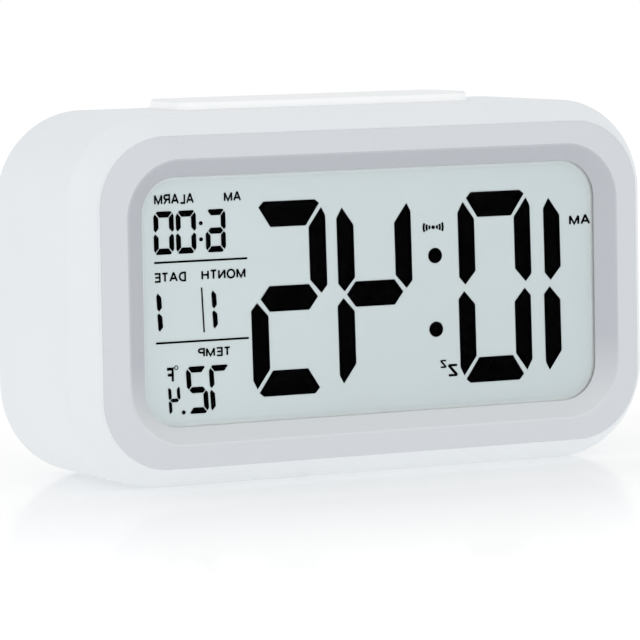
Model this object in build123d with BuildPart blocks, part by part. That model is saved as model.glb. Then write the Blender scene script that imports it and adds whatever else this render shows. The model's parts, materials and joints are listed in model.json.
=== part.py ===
from build123d import *

import math
import os

# Digital alarm clock: a rounded white case, a silver ring round the display and a snooze bar on top.
# Millimetres. X runs to the right of someone who reads it, Y runs to the rear and Z is up.
# The origin is on the base, under the middle of the case.

os.makedirs("parts", exist_ok=True)

# Case
case_width = 135.0
case_height = 76.5
case_depth = 45.0
case_corner_radius = 19.5
case_wall = 2.4
facet_width = 4.2
facet_depth = 7.0
facet_blend_radius = 3.0
lip_side = 0.6
lip_top = 0.15
rear_edge_radius = 2.0
seam_tolerance = 0.01
flange_thickness = 2.5

# Bezel ring: it fills its seat, its face slopes forward to a narrow crest, and a bevel falls back from there
ring_rise = 1.3
ring_face_side = 5.4
ring_face_top = 4.6
crest_radius = 12.2
crest_land = 0.4
bevel_side = 3.93
bevel_top = 3.33
bevel_depth = 2.4
window_radius = 7.8
window_lip = 0.2
peg_radius = 0.9
peg_clearance = 0.1
peg_inset = 26.45

# Lens, panel and backlight
lens_thickness = 0.6
lens_margin = 1.5
lens_gap = 0.1
lens_air_gap = 0.15
lcd_margin = 2.5
lcd_thickness = 2.5
lcd_gap = 0.3
lcd_corner_radius = 1.0
segment_thickness = 0.1
guide_thickness = 2.5
guide_end_gap = 0.3
reflector_thickness = 0.3
holder_gap = 0.15
holder_wall = 1.2
holder_floor = 2.3
zebra_end_gap = 10.4
zebra_width = 2.0
zebra_gap = 0.2
led_width = 2.2
led_height = 3.0
led_spread = 24.0
led_foot_width = 1.2

# Display layout, as it reads: the time, then a column of three rows with rules between them
display_reversed = True
meridiem_column = 7.86
half_digit_gap = 3.3
colon_gap = 11.2
digit_gap = 2.6
column_gap = 0.8
side_column = 21.0
side_margin = 3.04
time_margin = 5.45
time_drop = 0.45
time_bar_width = 3.9
time_bar_height = 5.3
time_bar_lean = 0.9
time_colon_heights = (6.7, -8.8)
time_colon_radius = 1.62
small_digit_width = 4.5
small_digit_height = 8.8
small_bar_width = 1.05
small_bar_height = 1.25
small_digit_gap = 0.5
small_colon_gap = 2.2
small_colon_spread = 3.3
small_dot_radius = 0.42
small_slant = 2.5
column_margin = 0.95
rule_width = 0.4
alarm_digit_rise = 1.6
date_digit_rise = 1.9
temperature_digit_rise = 1.55
temperature_digit_width = 4.7
temperature_digit_height = 9.7
month_width = 10.3
month_inset = 2.15
date_inset = 0.45
divider_width = 0.3
temperature_inset = 4.33
decimal_gap = 0.85
tenth_gap = 0.7
tenth_digit_width = 2.6
tenth_digit_height = 6.0
tenth_bar_width = 0.65
tenth_bar_height = 0.75

# Ends of a time digit's bars, from the digit's corner or its middle: two opposite corners are cut more
wide_bar_tip = (2.0, 1.2)
wide_bar_end = 3.1
wide_upright_tip = (1.3, 2.0)
wide_upright_end = 4.2
slim_bar_tip = (1.5, 0.8)
slim_bar_end = 2.5
slim_upright_tip = (0.9, 1.65)
slim_upright_end = 3.4
bar_inner_gap = 0.75
upright_inner_gap = 0.35
middle_tip = (1.4, 0.7)
middle_foot = 2.3
middle_heel = 3.5
middle_bar_tip = 2.1
middle_bar_gap = 0.25

# Main board
board_thickness = 1.6
board_corner_radius = 10.0
board_edge_gap = 1.0
board_boss_radius = 2.3
board_boss_inset = 16.7
board_boss_gap = 0.5
board_rim = 2.0
blob_radius = 7.0
blob_height = 1.6
blob_place = (6.0, -14.0)
crystal_radius = 1.0
crystal_length = 6.0
crystal_edge_radius = 0.25
crystal_place = (20.0, -14.0)
thermistor_side_inset = 12.7
thermistor_base_inset = 10.5
thermistor_reach = 6.0
thermistor_radius = 1.3
lead_pin_radius = 0.25
lead_pin_pitch = 2.0

# Screws
small_screw_radius = 0.95
small_screw_length = 4.5
small_head_radius = 2.0
small_head_height = 1.4
small_cross_length = 2.4
case_screw_radius = 1.25
case_screw_length = 9.0
case_head_radius = 2.6
case_head_height = 1.4
case_head_sink = 1.6
case_cross_length = 3.1
screw_hole_gap = 0.3
pilot_gap = 0.05
pilot_extra = 0.5
cross_width = 0.7
cross_depth = 0.8

# Rear cover
cover_recess = 0.8
cover_thickness = 2.5
cover_gap = 0.2
post_radius = 3.0
post_edge = 4.0
post_angle = 10.0

# Keys on the back
key_radius = 4.0
key_gap = 0.2
key_proud = 0.6
key_edge_radius = 0.5
key_travel = 0.6
key_flange_radius = 5.2
key_flange_thickness = 1.2
key_flange_gap = 0.1
key_places = {"set": -30.0, "mode": -15.0, "up": 0.0, "down": 15.0}
tact_width = 6.0
tact_height = 3.4
plunger_radius = 1.6
plunger_gap = 0.08
plunger_reach = 1.4
plunger_seat = 0.5
plunger_end_gap = 0.3
key_board_height = 11.0
key_board_side_gap = 4.0
key_board_boss_radius = 2.2
key_board_boss_places = (-38.0, -7.5, 23.5)

# Alarm switch on the back
switch_x = 33.0
switch_width = 9.0
switch_depth = 4.6
slider_travel = 3.0
slider_width = 3.0
slider_height = 3.6
slider_gap = 0.25
slider_flange_margin = 1.2
slider_groove_width = 0.4
slider_groove_depth = 0.4
slider_groove_pitch = 0.8
lever_width = 1.4
lever_height = 2.0
lever_gap = 0.1
lever_engage = 1.4
lever_root = 1.0

# Snooze bar
bar_length = 69.0
bar_depth = 20.7
bar_corner_radius = 4.5
bar_rise = 2.0
bar_draft = 14.0
bar_edge_radius = 0.5
bar_gap = 0.3
bar_rear_gap = 0.5
bar_skin = 1.8
bar_flange_width = 2.0
bar_flange_thickness = 1.5
bar_flange_gap = 0.2
bar_travel = 1.0
bar_rib_radius = 2.4
bar_rib_reach = 0.5
bar_spring_inset = 9.5
bar_spring_length = 5.0
bar_spring_radius = 2.4
bar_spring_wire = 0.5
bar_spring_turns = 4
spring_post_radius = 1.5
spring_post_gap = 0.1
spring_shoulder_radius = 3.4
bracket_thickness = 2.0
bracket_depth = 11.0
bracket_boss_radius = 2.4
bracket_boss_gap = 2.5
bracket_end = 3.0
bracket_corner_radius = 3.0
snooze_switch_depth = 3.6
snooze_switch_height = 4.4

# Battery bay: three AAA cells, side by side, with the ends turned about
cell_diameter = 10.5
cell_length = 44.5
cell_nub_radius = 1.9
cell_nub_length = 1.0
cell_edge_radius = 0.5
cell_pitch = 11.2
cell_side_gap = 0.5
cell_floor_gap = 0.35
cell_door_gap = 0.8
cell_spring_length = 5.5
cell_spring_wire = 0.6
cell_spring_base_radius = 3.4
cell_spring_tip_radius = 2.2
cell_spring_turns = 3.5
plate_thickness = 0.4
plate_width = 8.6
tray_wall = 1.6
tab_width = 3.0
tab_thickness = 0.5
tab_gap = 0.15
tab_reach = 1.6

# Battery door
door_thickness = 1.8
door_sink = 0.4
door_ledge = 1.6
door_gap = 0.2
door_pin_radius = 0.55
door_pin_gap = 0.08
door_pin_length = 1.2
door_pin_end_gap = 0.2
door_tongue_width = 12.0
door_tongue_length = 8.0
door_tongue_slot = 1.0
door_groove_width = 0.6
door_groove_depth = 0.4
door_groove_count = 3
door_groove_pitch = 1.6

# Buzzer
buzzer_radius = 9.0
buzzer_thickness = 0.3
ceramic_radius = 6.3
ceramic_thickness = 0.2
buzzer_gap = 0.2
buzzer_ring_wall = 1.3
buzzer_ring_height = 2.0
buzzer_seat_height = 1.2
buzzer_seat_width = 1.2
sound_hole_radius = 0.9
sound_hole_circle = 4.5
sound_hole_count = 6

# Leads
lead_radius = 0.6
lead_bend_radius = 3.0
lead_run = 5.0
ribbon_width = 12.0
ribbon_thickness = 0.9
ribbon_x = -22.0
ribbon_drop = 5.0
ribbon_bend_radius = 3.0
ribbon_edge = 2.5
buzzer_lead_step = 5.0

# Depths, from the front of the ring to the rear rim
front_y = -case_depth / 2
rear_y = case_depth / 2
lip_y = front_y + ring_rise
facet_y = lip_y + facet_depth
window_y = front_y + bevel_depth
lens_y = window_y + window_lip
flange_y = lens_y + lens_thickness + lens_air_gap
flange_back_y = flange_y + flange_thickness
lcd_back_y = flange_y + lcd_thickness
guide_back_y = lcd_back_y + guide_thickness
holder_floor_y = guide_back_y + reflector_thickness
board_y = holder_floor_y + holder_floor
board_back_y = board_y + board_thickness
cover_y = rear_y - cover_recess
cover_inner_y = cover_y - cover_thickness
key_flange_y = cover_inner_y - key_flange_gap
plunger_tip_y = key_flange_y - key_flange_thickness
tact_y = plunger_tip_y - plunger_reach
key_board_back_y = tact_y - tact_height
key_board_y = key_board_back_y - board_thickness
snooze_y = key_board_y - snooze_switch_depth / 2
bar_rear_y = cover_inner_y - bar_rear_gap
bar_y = bar_rear_y - bar_depth / 2
door_seat_y = cover_y - door_sink - door_thickness
hinge_y = door_seat_y + door_thickness / 2
tray_depth = cell_diameter + cell_floor_gap + cell_door_gap
tray_floor_y = door_seat_y - tray_depth
cell_y = tray_floor_y + cell_floor_gap + cell_diameter / 2
buzzer_y = cover_inner_y - buzzer_seat_height

# Heights
middle_z = case_height / 2
ceiling_z = case_height - case_wall
bar_under_z = ceiling_z - bar_flange_gap - bar_flange_thickness
bar_top_z = case_height + bar_rise
bar_cavity_z = bar_top_z - bar_skin
bracket_z = bar_under_z - bar_spring_length
snooze_tip_z = bracket_z - bracket_thickness - bar_rib_reach
key_board_top_z = snooze_tip_z - plunger_reach
key_board_bottom_z = key_board_top_z - key_board_height
key_z = key_board_top_z - key_board_height / 2
tray_z = (case_wall + cover_gap + key_board_bottom_z) / 2

# Outlines, from the outside in
ring_width = case_width - 2 * (facet_width + lip_side)
ring_height = case_height - 2 * (facet_width + lip_top)
ring_radius = case_corner_radius - facet_width - lip_side
crest_width = ring_width - 2 * ring_face_side
crest_height = ring_height - 2 * ring_face_top
bevel_width = crest_width - 2 * crest_land
bevel_height = crest_height - 2 * crest_land
window_width = bevel_width - 2 * bevel_side
window_height = bevel_height - 2 * bevel_top
lens_width = window_width + 2 * lens_margin
lens_height = window_height + 2 * lens_margin
lcd_width = window_width + 2 * lcd_margin
lcd_height = window_height + 2 * lcd_margin
pocket_width = lcd_width + 2 * holder_gap
pocket_height = lcd_height + 2 * holder_gap
holder_width = pocket_width + 2 * holder_wall
holder_height = pocket_height + 2 * holder_wall
zebra_length = lcd_width - 2 * zebra_end_gap
zebra_z = middle_z - lcd_height / 2 + holder_gap + zebra_width / 2
guide_bottom_z = zebra_z + zebra_width / 2 + guide_end_gap
guide_top_z = middle_z + lcd_height / 2
led_x = lcd_width / 2 - led_width / 2
guide_left_x = -lcd_width / 2
guide_right_x = led_x - led_width / 2 - guide_end_gap

cover_width = case_width - 2 * (case_wall + cover_gap)
cover_height = case_height - 2 * (case_wall + cover_gap)
cover_radius = case_corner_radius - case_wall - cover_gap
post_ring = cover_radius - post_edge
post_lean = math.radians(post_angle)
post_x = case_width / 2 - case_corner_radius + post_ring * math.cos(post_lean)
post_rise = case_height / 2 - case_corner_radius + post_ring * math.sin(post_lean)
post_places = [(sx * post_x, middle_z + sz * post_rise) for sx in (-1, 1) for sz in (-1, 1)]

board_boss_rise = holder_height / 2 + board_boss_gap + board_boss_radius
board_width = 2 * (post_x - post_radius - board_edge_gap)
board_height = 2 * (board_boss_rise + board_rim)
board_boss_x = board_width / 2 - board_boss_inset
board_boss_places = [
    (sx * board_boss_x, middle_z + sz * board_boss_rise) for sx in (-1, 1) for sz in (-1, 1)
]
peg_x = ring_width / 2 - peg_inset
peg_rise = (ring_height + lcd_height) / 4 + lcd_gap / 2
peg_side_x = (ring_width + lcd_width) / 4 + lcd_gap / 2
peg_places = [(sx * peg_x, middle_z + sz * peg_rise) for sx in (-1, 1) for sz in (-1, 1)]
peg_places += [(sx * peg_side_x, middle_z) for sx in (-1, 1)]

key_board_width = 2 * (post_x - post_radius - key_board_side_gap)
key_boss_places = [(x, key_z) for x in key_board_boss_places]

bracket_boss_x = bar_length / 2 + bar_flange_width + bracket_boss_gap + bracket_boss_radius
bracket_boss_places = [(sx * bracket_boss_x, snooze_y) for sx in (-1, 1)]
bar_spring_x = bar_length / 2 - bar_spring_inset
bar_spring_places = [(sx * bar_spring_x, snooze_y) for sx in (-1, 1)]

tray_length = cell_length + cell_spring_length + 2 * plate_thickness
tray_height = 2 * cell_pitch + cell_diameter + 2 * cell_side_gap
tray_end_x = tray_length / 2
door_width = tray_length + 2 * door_ledge - 2 * door_gap
door_height = tray_height + 2 * door_ledge - 2 * door_gap
hinge_z = tray_z - door_height / 2 + door_thickness / 2
cell_heights = {"upper": tray_z + cell_pitch, "middle": tray_z, "lower": tray_z - cell_pitch}
cell_sides = {"upper": -1, "middle": 1, "lower": -1}
buzzer_x = -(tray_end_x + tray_wall + post_x - post_radius) / 2
buzzer_z = tray_z


def facing(y):
    """Plane at depth y that faces the reader: its x is X, its y is Z, and it extrudes forwards."""
    return Plane(origin=(0, y, 0), x_dir=(1, 0, 0), z_dir=(0, -1, 0))


def level(z):
    """Plane at height z that faces up."""
    return Plane.XY.offset(z)


def across(x):
    """Plane at x that faces right: its x is Y and its y is Z."""
    return Plane.YZ.offset(x)


def forward(x, y, z):
    """Plane at a point that faces the reader."""
    return Plane((x, y, z), x_dir=(1, 0, 0), z_dir=(0, -1, 0))


def rearward(x, y, z):
    """Plane at a point that faces the rear."""
    return Plane((x, y, z), x_dir=(1, 0, 0), z_dir=(0, 1, 0))


def panel(width, height, radius, y, x=0.0, z=middle_z):
    """Rounded rectangle at depth y."""
    with BuildSketch(facing(y)) as outline:
        with Locations((x, z)):
            RectangleRounded(width, height, radius)
    return outline.sketch


def block(width, height, y, x=0.0, z=middle_z):
    """Plain rectangle at depth y."""
    with BuildSketch(facing(y)) as outline:
        with Locations((x, z)):
            Rectangle(width, height)
    return outline.sketch


def discs(radius, y, places):
    """Circles at depth y, one at each place in X and Z."""
    with BuildSketch(facing(y)) as outline:
        with Locations(*places):
            Circle(radius)
    return outline.sketch


def floor_discs(radius, z, places):
    """Circles at height z, one at each place in X and Y."""
    with BuildSketch(level(z)) as outline:
        with Locations(*places):
            Circle(radius)
    return outline.sketch


def floor_panel(width, depth, radius, z, y, x=0.0):
    """Rounded rectangle at height z."""
    with BuildSketch(level(z)) as outline:
        with Locations((x, y)):
            RectangleRounded(width, depth, radius)
    return outline.sketch


def save(name, builder):
    """Label a piece and write it."""
    builder.part.label = name
    export_step(builder.part, f"parts/{name}.step")


def screw(radius, length, head_radius, head_height, cross_length):
    """Pan-head screw with a cross recess: its head stands on z 0, and its shank goes down."""
    with BuildPart() as body:
        with BuildSketch(level(-length)):
            Circle(radius)
        extrude(amount=length)
        with BuildSketch(level(0)):
            Circle(head_radius)
        extrude(amount=head_height)
        with BuildSketch(level(head_height - cross_depth)):
            Rectangle(cross_length, cross_width)
            Rectangle(cross_width, cross_length)
        extrude(amount=cross_depth, mode=Mode.SUBTRACT)
    return body.part


def coil_point(turn, start_radius, end_radius, start, end, turns):
    """Point and direction of a coil about +Z, a number of turns from its start."""
    angle = 2 * math.pi * turn
    slope = (end_radius - start_radius) / (2 * math.pi * turns)
    climb = (end - start) / (2 * math.pi * turns)
    radius = start_radius + slope * angle
    point = Vector(radius * math.cos(angle), radius * math.sin(angle), start + climb * angle)
    direction = Vector(
        slope * math.cos(angle) - radius * math.sin(angle),
        slope * math.sin(angle) + radius * math.cos(angle),
        climb,
    )
    return point, direction.normalized()


def coil(start_radius, end_radius, length, turns, wire):
    """Coil spring about +Z from 0 to length: one wire swept along a biarc for each quarter turn."""
    quarters = round(turns * 4)
    ends = (start_radius, end_radius, wire / 2, length - wire / 2, turns)
    with BuildPart() as body:
        with BuildLine() as path:
            for quarter in range(quarters):
                first, leaves = coil_point(quarter / 4, *ends)
                last, arrives = coil_point((quarter + 1) / 4, *ends)
                chord = last - first
                lean = chord.dot(leaves + arrives)
                spread = 2 * (1 - leaves.dot(arrives))
                reach = (math.sqrt(lean * lean + spread * chord.dot(chord)) - lean) / spread
                joint = (first + last + (leaves - arrives) * reach) * 0.5
                TangentArc(first, joint, tangent=leaves)
                TangentArc(joint, last, tangent=chord - (leaves + arrives) * reach)
        with BuildSketch(Plane(origin=path.line @ 0, z_dir=path.line % 0)):
            Circle(wire / 2)
        sweep()
    pitch = (length - wire) / turns
    step = (end_radius - start_radius) / turns
    print(f"coil of {turns} turns: least gap between turns {math.hypot(pitch, step) - wire:.2f} mm")
    return body.part


def lead(points, radius, bend):
    """Wire along straight runs and arcs."""
    with BuildPart() as body:
        with BuildLine() as path:
            FilletPolyline(*points, radius=bend)
        with BuildSketch(Plane(origin=path.line @ 0, z_dir=path.line % 0)):
            Circle(radius)
        sweep()
    return body.part


def plunger(name, plane):
    """Plunger of a push switch: it stands on its plane's origin, the switch's top, and goes up."""
    with BuildPart() as body:
        with BuildSketch(plane.offset(-plunger_seat)):
            Circle(plunger_radius)
        extrude(amount=plunger_seat + plunger_reach)
    save(name, body)


digit_bars = {"0": "abcdef", "1": "bc", "2": "abged", "4": "fgbc", "5": "afgcd", "6": "afgedc", "7": "abc"}


def digit_outlines(digit, width, height, bar_width, bar_height):
    """Outlines of a seven-segment digit's lit bars, about the digit's middle."""
    right, top = width / 2, height / 2
    inner_x, inner_z = right - bar_width, top - bar_height
    scale = bar_width / time_bar_width
    lean = math.tan(math.radians(time_bar_lean))

    def bar_half(tip, end):
        return [
            (inner_x - bar_inner_gap * scale, inner_z),
            (right - tip[0] * scale, top - tip[1] * scale),
            (right - end * scale, top),
        ]

    def upright(side, tip, end):
        outline = [
            (right - tip[0] * scale, top - tip[1] * scale),
            (right, top - end * scale),
            (right, middle_foot * scale),
            (right - middle_tip[0] * scale, middle_tip[1] * scale),
            (inner_x, middle_heel * scale),
            (inner_x, inner_z - upright_inner_gap * scale),
        ]
        return [(side * x + lean * (z - top / 2), z) for x, z in outline]

    slim_half = bar_half(slim_bar_tip, slim_bar_end)
    middle_end = inner_x - middle_bar_gap * scale
    half_middle = [
        (middle_end, -bar_height / 2),
        (right - middle_bar_tip * scale, 0),
        (middle_end, bar_height / 2),
    ]
    shapes = {
        "a": bar_half(wide_bar_tip, wide_bar_end) + [(-x, z) for x, z in reversed(slim_half)],
        "b": upright(1, wide_upright_tip, wide_upright_end),
        "f": upright(-1, slim_upright_tip, slim_upright_end),
        "g": half_middle + [(-x, z) for x, z in reversed(half_middle)],
    }
    for bar, opposite in (("c", "f"), ("d", "a"), ("e", "b")):
        shapes[bar] = [(-x, -z) for x, z in shapes[opposite]]
    return [shapes[bar] for bar in digit_bars[digit]]


def display_point(x, z):
    """Place on the display for a point of the readable layout."""
    return (-x if display_reversed else x, middle_z + z)


def display_shape(outline, x, z, slant):
    """Place on the display for an outline about a point of the readable layout, slanted by some degrees."""
    lean = math.tan(math.radians(slant))
    return [display_point(x + px + lean * pz, z + pz) for px, pz in outline]


# Case shell
with BuildPart() as case_shell:
    outline = panel(case_width, case_height, case_corner_radius, facet_y)
    extrude(outline, amount=facet_y - rear_y)
    extrude(outline, amount=facet_depth, taper=math.degrees(math.atan2(facet_width, facet_depth)))
    for seam_y, radius in ((facet_y, facet_blend_radius), (rear_y, rear_edge_radius)):
        low_y, high_y = seam_y - seam_tolerance, seam_y + seam_tolerance
        fillet(case_shell.edges().filter_by_position(Axis.Y, low_y, high_y), radius)
    hollow = panel(
        case_width - 2 * case_wall,
        case_height - 2 * case_wall,
        case_corner_radius - case_wall,
        flange_back_y,
    )
    extrude(hollow, amount=flange_back_y - rear_y, mode=Mode.SUBTRACT)
    ring_seat = panel(ring_width, ring_height, ring_radius, lip_y)
    extrude(ring_seat, amount=lip_y - flange_y, mode=Mode.SUBTRACT)
    opening_size = (lcd_width + 2 * lcd_gap, lcd_height + 2 * lcd_gap)
    opening = panel(*opening_size, lcd_corner_radius + lcd_gap, flange_y)
    extrude(opening, amount=-flange_thickness, mode=Mode.SUBTRACT)
    peg_holes = discs(peg_radius + peg_clearance, flange_y, peg_places)
    extrude(peg_holes, amount=-flange_thickness, mode=Mode.SUBTRACT)
    extrude(discs(post_radius, flange_back_y, post_places), amount=flange_back_y - cover_inner_y)
    post_pilots = discs(case_screw_radius + pilot_gap, cover_inner_y, post_places)
    extrude(post_pilots, amount=case_screw_length, mode=Mode.SUBTRACT)
    extrude(discs(board_boss_radius, flange_back_y, board_boss_places), amount=flange_back_y - board_y)
    board_pilots = discs(small_screw_radius + pilot_gap, board_y, board_boss_places)
    extrude(board_pilots, amount=small_screw_length - board_thickness + pilot_extra, mode=Mode.SUBTRACT)
    bar_hole = floor_panel(
        bar_length + 2 * bar_gap, bar_depth + 2 * bar_gap, bar_corner_radius + bar_gap, ceiling_z, bar_y
    )
    extrude(bar_hole, amount=case_wall, mode=Mode.SUBTRACT)
    extrude(floor_discs(bracket_boss_radius, bracket_z, bracket_boss_places), amount=ceiling_z - bracket_z)
    bracket_pilots = floor_discs(small_screw_radius + pilot_gap, bracket_z, bracket_boss_places)
    extrude(bracket_pilots, amount=small_screw_length - bracket_thickness + pilot_extra, mode=Mode.SUBTRACT)
save("case_shell", case_shell)

# Bezel ring
with BuildPart() as bezel_ring:
    extrude(panel(ring_width, ring_height, ring_radius, lip_y), amount=lip_y - flange_y)
    crest = panel(crest_width, crest_height, crest_radius, front_y)
    loft([panel(ring_width, ring_height, ring_radius, lip_y).face(), crest.face()], ruled=True)
    mouth = panel(bevel_width, bevel_height, crest_radius - crest_land, front_y)
    window = panel(window_width, window_height, window_radius, window_y)
    loft([mouth.face(), window.face()], ruled=True, mode=Mode.SUBTRACT)
    extrude(window, amount=-window_lip, mode=Mode.SUBTRACT)
    rebate_size = (lens_width + 2 * lens_gap, lens_height + 2 * lens_gap)
    rebate = panel(*rebate_size, window_radius + lens_margin, lens_y)
    extrude(rebate, amount=lens_y - flange_y, mode=Mode.SUBTRACT)
    extrude(discs(peg_radius, flange_y, peg_places), amount=-(flange_thickness - peg_clearance))
save("bezel_ring", bezel_ring)

# Lens
with BuildPart() as display_lens:
    extrude(panel(lens_width, lens_height, window_radius + lens_margin, lens_y), amount=-lens_thickness)
save("display_lens", display_lens)

# Panel
with BuildPart() as lcd_glass:
    extrude(panel(lcd_width, lcd_height, lcd_corner_radius, flange_y), amount=-lcd_thickness)
save("lcd_glass", lcd_glass)

# Segments of the panel: the time, with a half digit for the tens of hours
column_right = window_width / 2 - side_margin
column_left = column_right - side_column
time_left = meridiem_column - window_width / 2
time_gaps = half_digit_gap + colon_gap + digit_gap
time_digit_width = (column_left - column_gap - time_left - time_bar_width - time_gaps) / 3
time_style = (time_digit_width, window_height - 2 * time_margin, time_bar_width, time_bar_height)
half_digit_x = time_left + time_bar_width - time_digit_width / 2
hours_x = time_left + time_bar_width + half_digit_gap + time_digit_width / 2
tens_x = hours_x + time_digit_width + colon_gap
units_x = tens_x + time_digit_width + digit_gap
time_colon_x = (hours_x + tens_x) / 2

# Segments of the panel: the column, with rows for the alarm, the date and the temperature
small_style = (small_digit_width, small_digit_height, small_bar_width, small_bar_height)
tenth_style = (tenth_digit_width, tenth_digit_height, tenth_bar_width, tenth_bar_height)
row_height = (window_height - 2 * column_margin) / 3
temperature_style = (temperature_digit_width, temperature_digit_height, small_bar_width, small_bar_height)
alarm_z = row_height / 2 + alarm_digit_rise + small_digit_height / 2
alarm_units_x = column_right - small_digit_width / 2
alarm_tens_x = alarm_units_x - small_digit_width - small_digit_gap
alarm_hours_x = alarm_tens_x - small_digit_width - small_colon_gap
alarm_colon_x = (alarm_hours_x + alarm_tens_x) / 2
date_z = date_digit_rise + (small_digit_height - row_height) / 2
divider_x = column_left + month_width
month_x = divider_x - month_inset - small_digit_width / 2
date_x = column_right - date_inset - small_digit_width / 2
temperature_base_z = temperature_digit_rise - row_height * 3 / 2
temperature_z = temperature_base_z + temperature_digit_height / 2
temperature_tens_x = column_left + temperature_inset + temperature_digit_width / 2
temperature_units_x = temperature_tens_x + temperature_digit_width + small_digit_gap
decimal_x = temperature_units_x + temperature_digit_width / 2 + decimal_gap
tenth_x = decimal_x + tenth_gap + tenth_digit_width / 2

digits = [
    ("1", half_digit_x, -time_drop, time_style, 0.0),
    ("0", hours_x, -time_drop, time_style, 0.0),
    ("4", tens_x, -time_drop, time_style, 0.0),
    ("5", units_x, -time_drop, time_style, 0.0),
    ("6", alarm_hours_x, alarm_z, small_style, 0.0),
    ("0", alarm_tens_x, alarm_z, small_style, 0.0),
    ("0", alarm_units_x, alarm_z, small_style, 0.0),
    ("1", month_x, date_z, small_style, small_slant),
    ("1", date_x, date_z, small_style, small_slant),
    ("7", temperature_tens_x, temperature_z, temperature_style, small_slant),
    ("2", temperature_units_x, temperature_z, temperature_style, small_slant),
    ("4", tenth_x, temperature_base_z + tenth_digit_height / 2, tenth_style, small_slant),
]
dots = [(time_colon_x, z, time_colon_radius) for z in time_colon_heights]
dots += [(alarm_colon_x, alarm_z + side * small_colon_spread / 2, small_dot_radius) for side in (-1, 1)]
dots += [(decimal_x, temperature_base_z + small_dot_radius, small_dot_radius)]
divider_rise = (small_digit_height + rule_width) / 2
divider = [(divider_width / 2 * sx, divider_rise * sz) for sx, sz in ((-1, -1), (1, -1), (1, 1), (-1, 1))]

with BuildPart() as lcd_segments:
    with BuildSketch(facing(flange_y)):
        for digit, x, z, style, slant in digits:
            for outline in digit_outlines(digit, *style):
                Polygon(*display_shape(outline, x, z, slant), align=None)
        for x, z, radius in dots:
            with Locations(display_point(x, z)):
                Circle(radius)
        for side in (-1, 1):
            with Locations(display_point((column_left + column_right) / 2, side * row_height / 2)):
                Rectangle(side_column, rule_width)
        Polygon(*display_shape(divider, divider_x, date_z, small_slant), align=None)
    extrude(amount=segment_thickness)
save("lcd_segments", lcd_segments)

# Backlight
with BuildPart() as light_guide:
    guide_face = panel(
        guide_right_x - guide_left_x,
        guide_top_z - guide_bottom_z,
        lcd_corner_radius,
        lcd_back_y,
        (guide_right_x + guide_left_x) / 2,
        (guide_top_z + guide_bottom_z) / 2,
    )
    extrude(guide_face, amount=-guide_thickness)
save("light_guide", light_guide)

with BuildPart() as reflector_sheet:
    sheet = panel(
        guide_right_x - guide_left_x,
        guide_top_z - guide_bottom_z,
        lcd_corner_radius,
        guide_back_y,
        (guide_right_x + guide_left_x) / 2,
        (guide_top_z + guide_bottom_z) / 2,
    )
    extrude(sheet, amount=-reflector_thickness)
save("reflector_sheet", reflector_sheet)

led_places = [(led_x, middle_z + side * led_spread / 2) for side in (-1, 1)]
with BuildPart() as backlight_leds:
    for x, z in led_places:
        extrude(block(led_width, led_height, lcd_back_y, x, z), amount=lcd_back_y - holder_floor_y)
        extrude(block(led_foot_width, led_height, holder_floor_y, x, z), amount=-holder_floor)
save("backlight_leds", backlight_leds)

# Frame that clamps the panel and the backlight between the flange and the main board
with BuildPart() as lcd_holder:
    holder_radius = lcd_corner_radius + holder_gap + holder_wall
    frame_outline = panel(holder_width, holder_height, holder_radius, flange_back_y)
    extrude(frame_outline, amount=flange_back_y - board_y)
    pocket = panel(pocket_width, pocket_height, lcd_corner_radius + holder_gap, flange_back_y)
    extrude(pocket, amount=flange_back_y - holder_floor_y, mode=Mode.SUBTRACT)
    zebra_slot_size = (zebra_length + 2 * zebra_gap, zebra_width + 2 * zebra_gap)
    zebra_slot = block(*zebra_slot_size, holder_floor_y, 0.0, zebra_z)
    extrude(zebra_slot, amount=-holder_floor, mode=Mode.SUBTRACT)
    for x, z in led_places:
        foot_slot = block(led_foot_width + 2 * zebra_gap, led_height + 2 * zebra_gap, holder_floor_y, x, z)
        extrude(foot_slot, amount=-holder_floor, mode=Mode.SUBTRACT)
save("lcd_holder", lcd_holder)

# Rubber connector from the panel's lower edge to the main board
with BuildPart() as zebra_strip:
    extrude(block(zebra_length, zebra_width, lcd_back_y, 0.0, zebra_z), amount=lcd_back_y - board_y)
save("zebra_strip", zebra_strip)

# Main board and what stands on its rear face
with BuildPart() as main_board:
    extrude(panel(board_width, board_height, board_corner_radius, board_y), amount=-board_thickness)
    screw_holes = discs(small_screw_radius + screw_hole_gap, board_y, board_boss_places)
    extrude(screw_holes, amount=-board_thickness, mode=Mode.SUBTRACT)
save("main_board", main_board)

blob_x, blob_z = blob_place[0], middle_z + blob_place[1]
blob_ball_radius = (blob_radius**2 + blob_height**2) / (2 * blob_height)
with BuildPart() as chip_blob:
    with Locations((blob_x, board_back_y + blob_height - blob_ball_radius, blob_z)):
        Sphere(blob_ball_radius)
    split(bisect_by=facing(board_back_y), keep=Keep.BOTTOM)
save("chip_blob", chip_blob)

crystal_x, crystal_z = crystal_place[0], middle_z + crystal_place[1]
with BuildPart() as crystal:
    extrude(discs(crystal_radius, board_back_y, [(crystal_x, crystal_z)]), amount=-crystal_length)
    fillet(crystal.edges().sort_by(Axis.Y)[-1], crystal_edge_radius)
save("crystal", crystal)

thermistor_x = thermistor_side_inset - board_width / 2
thermistor_z = middle_z - board_height / 2 + thermistor_base_inset
thermistor_pins = [(thermistor_x + side * lead_pin_pitch / 2, thermistor_z) for side in (-1, 1)]
with BuildPart() as thermistor:
    extrude(discs(lead_pin_radius, board_back_y, thermistor_pins), amount=-thermistor_reach)
    with Locations((thermistor_x, board_back_y + thermistor_reach, thermistor_z)):
        Sphere(thermistor_radius)
save("thermistor", thermistor)

small_screw = screw(
    small_screw_radius, small_screw_length, small_head_radius, small_head_height, small_cross_length
)
with BuildPart() as main_board_screws:
    with Locations(*[rearward(x, board_back_y, z) for x, z in board_boss_places]):
        add(small_screw)
save("main_board_screws", main_board_screws)

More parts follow.
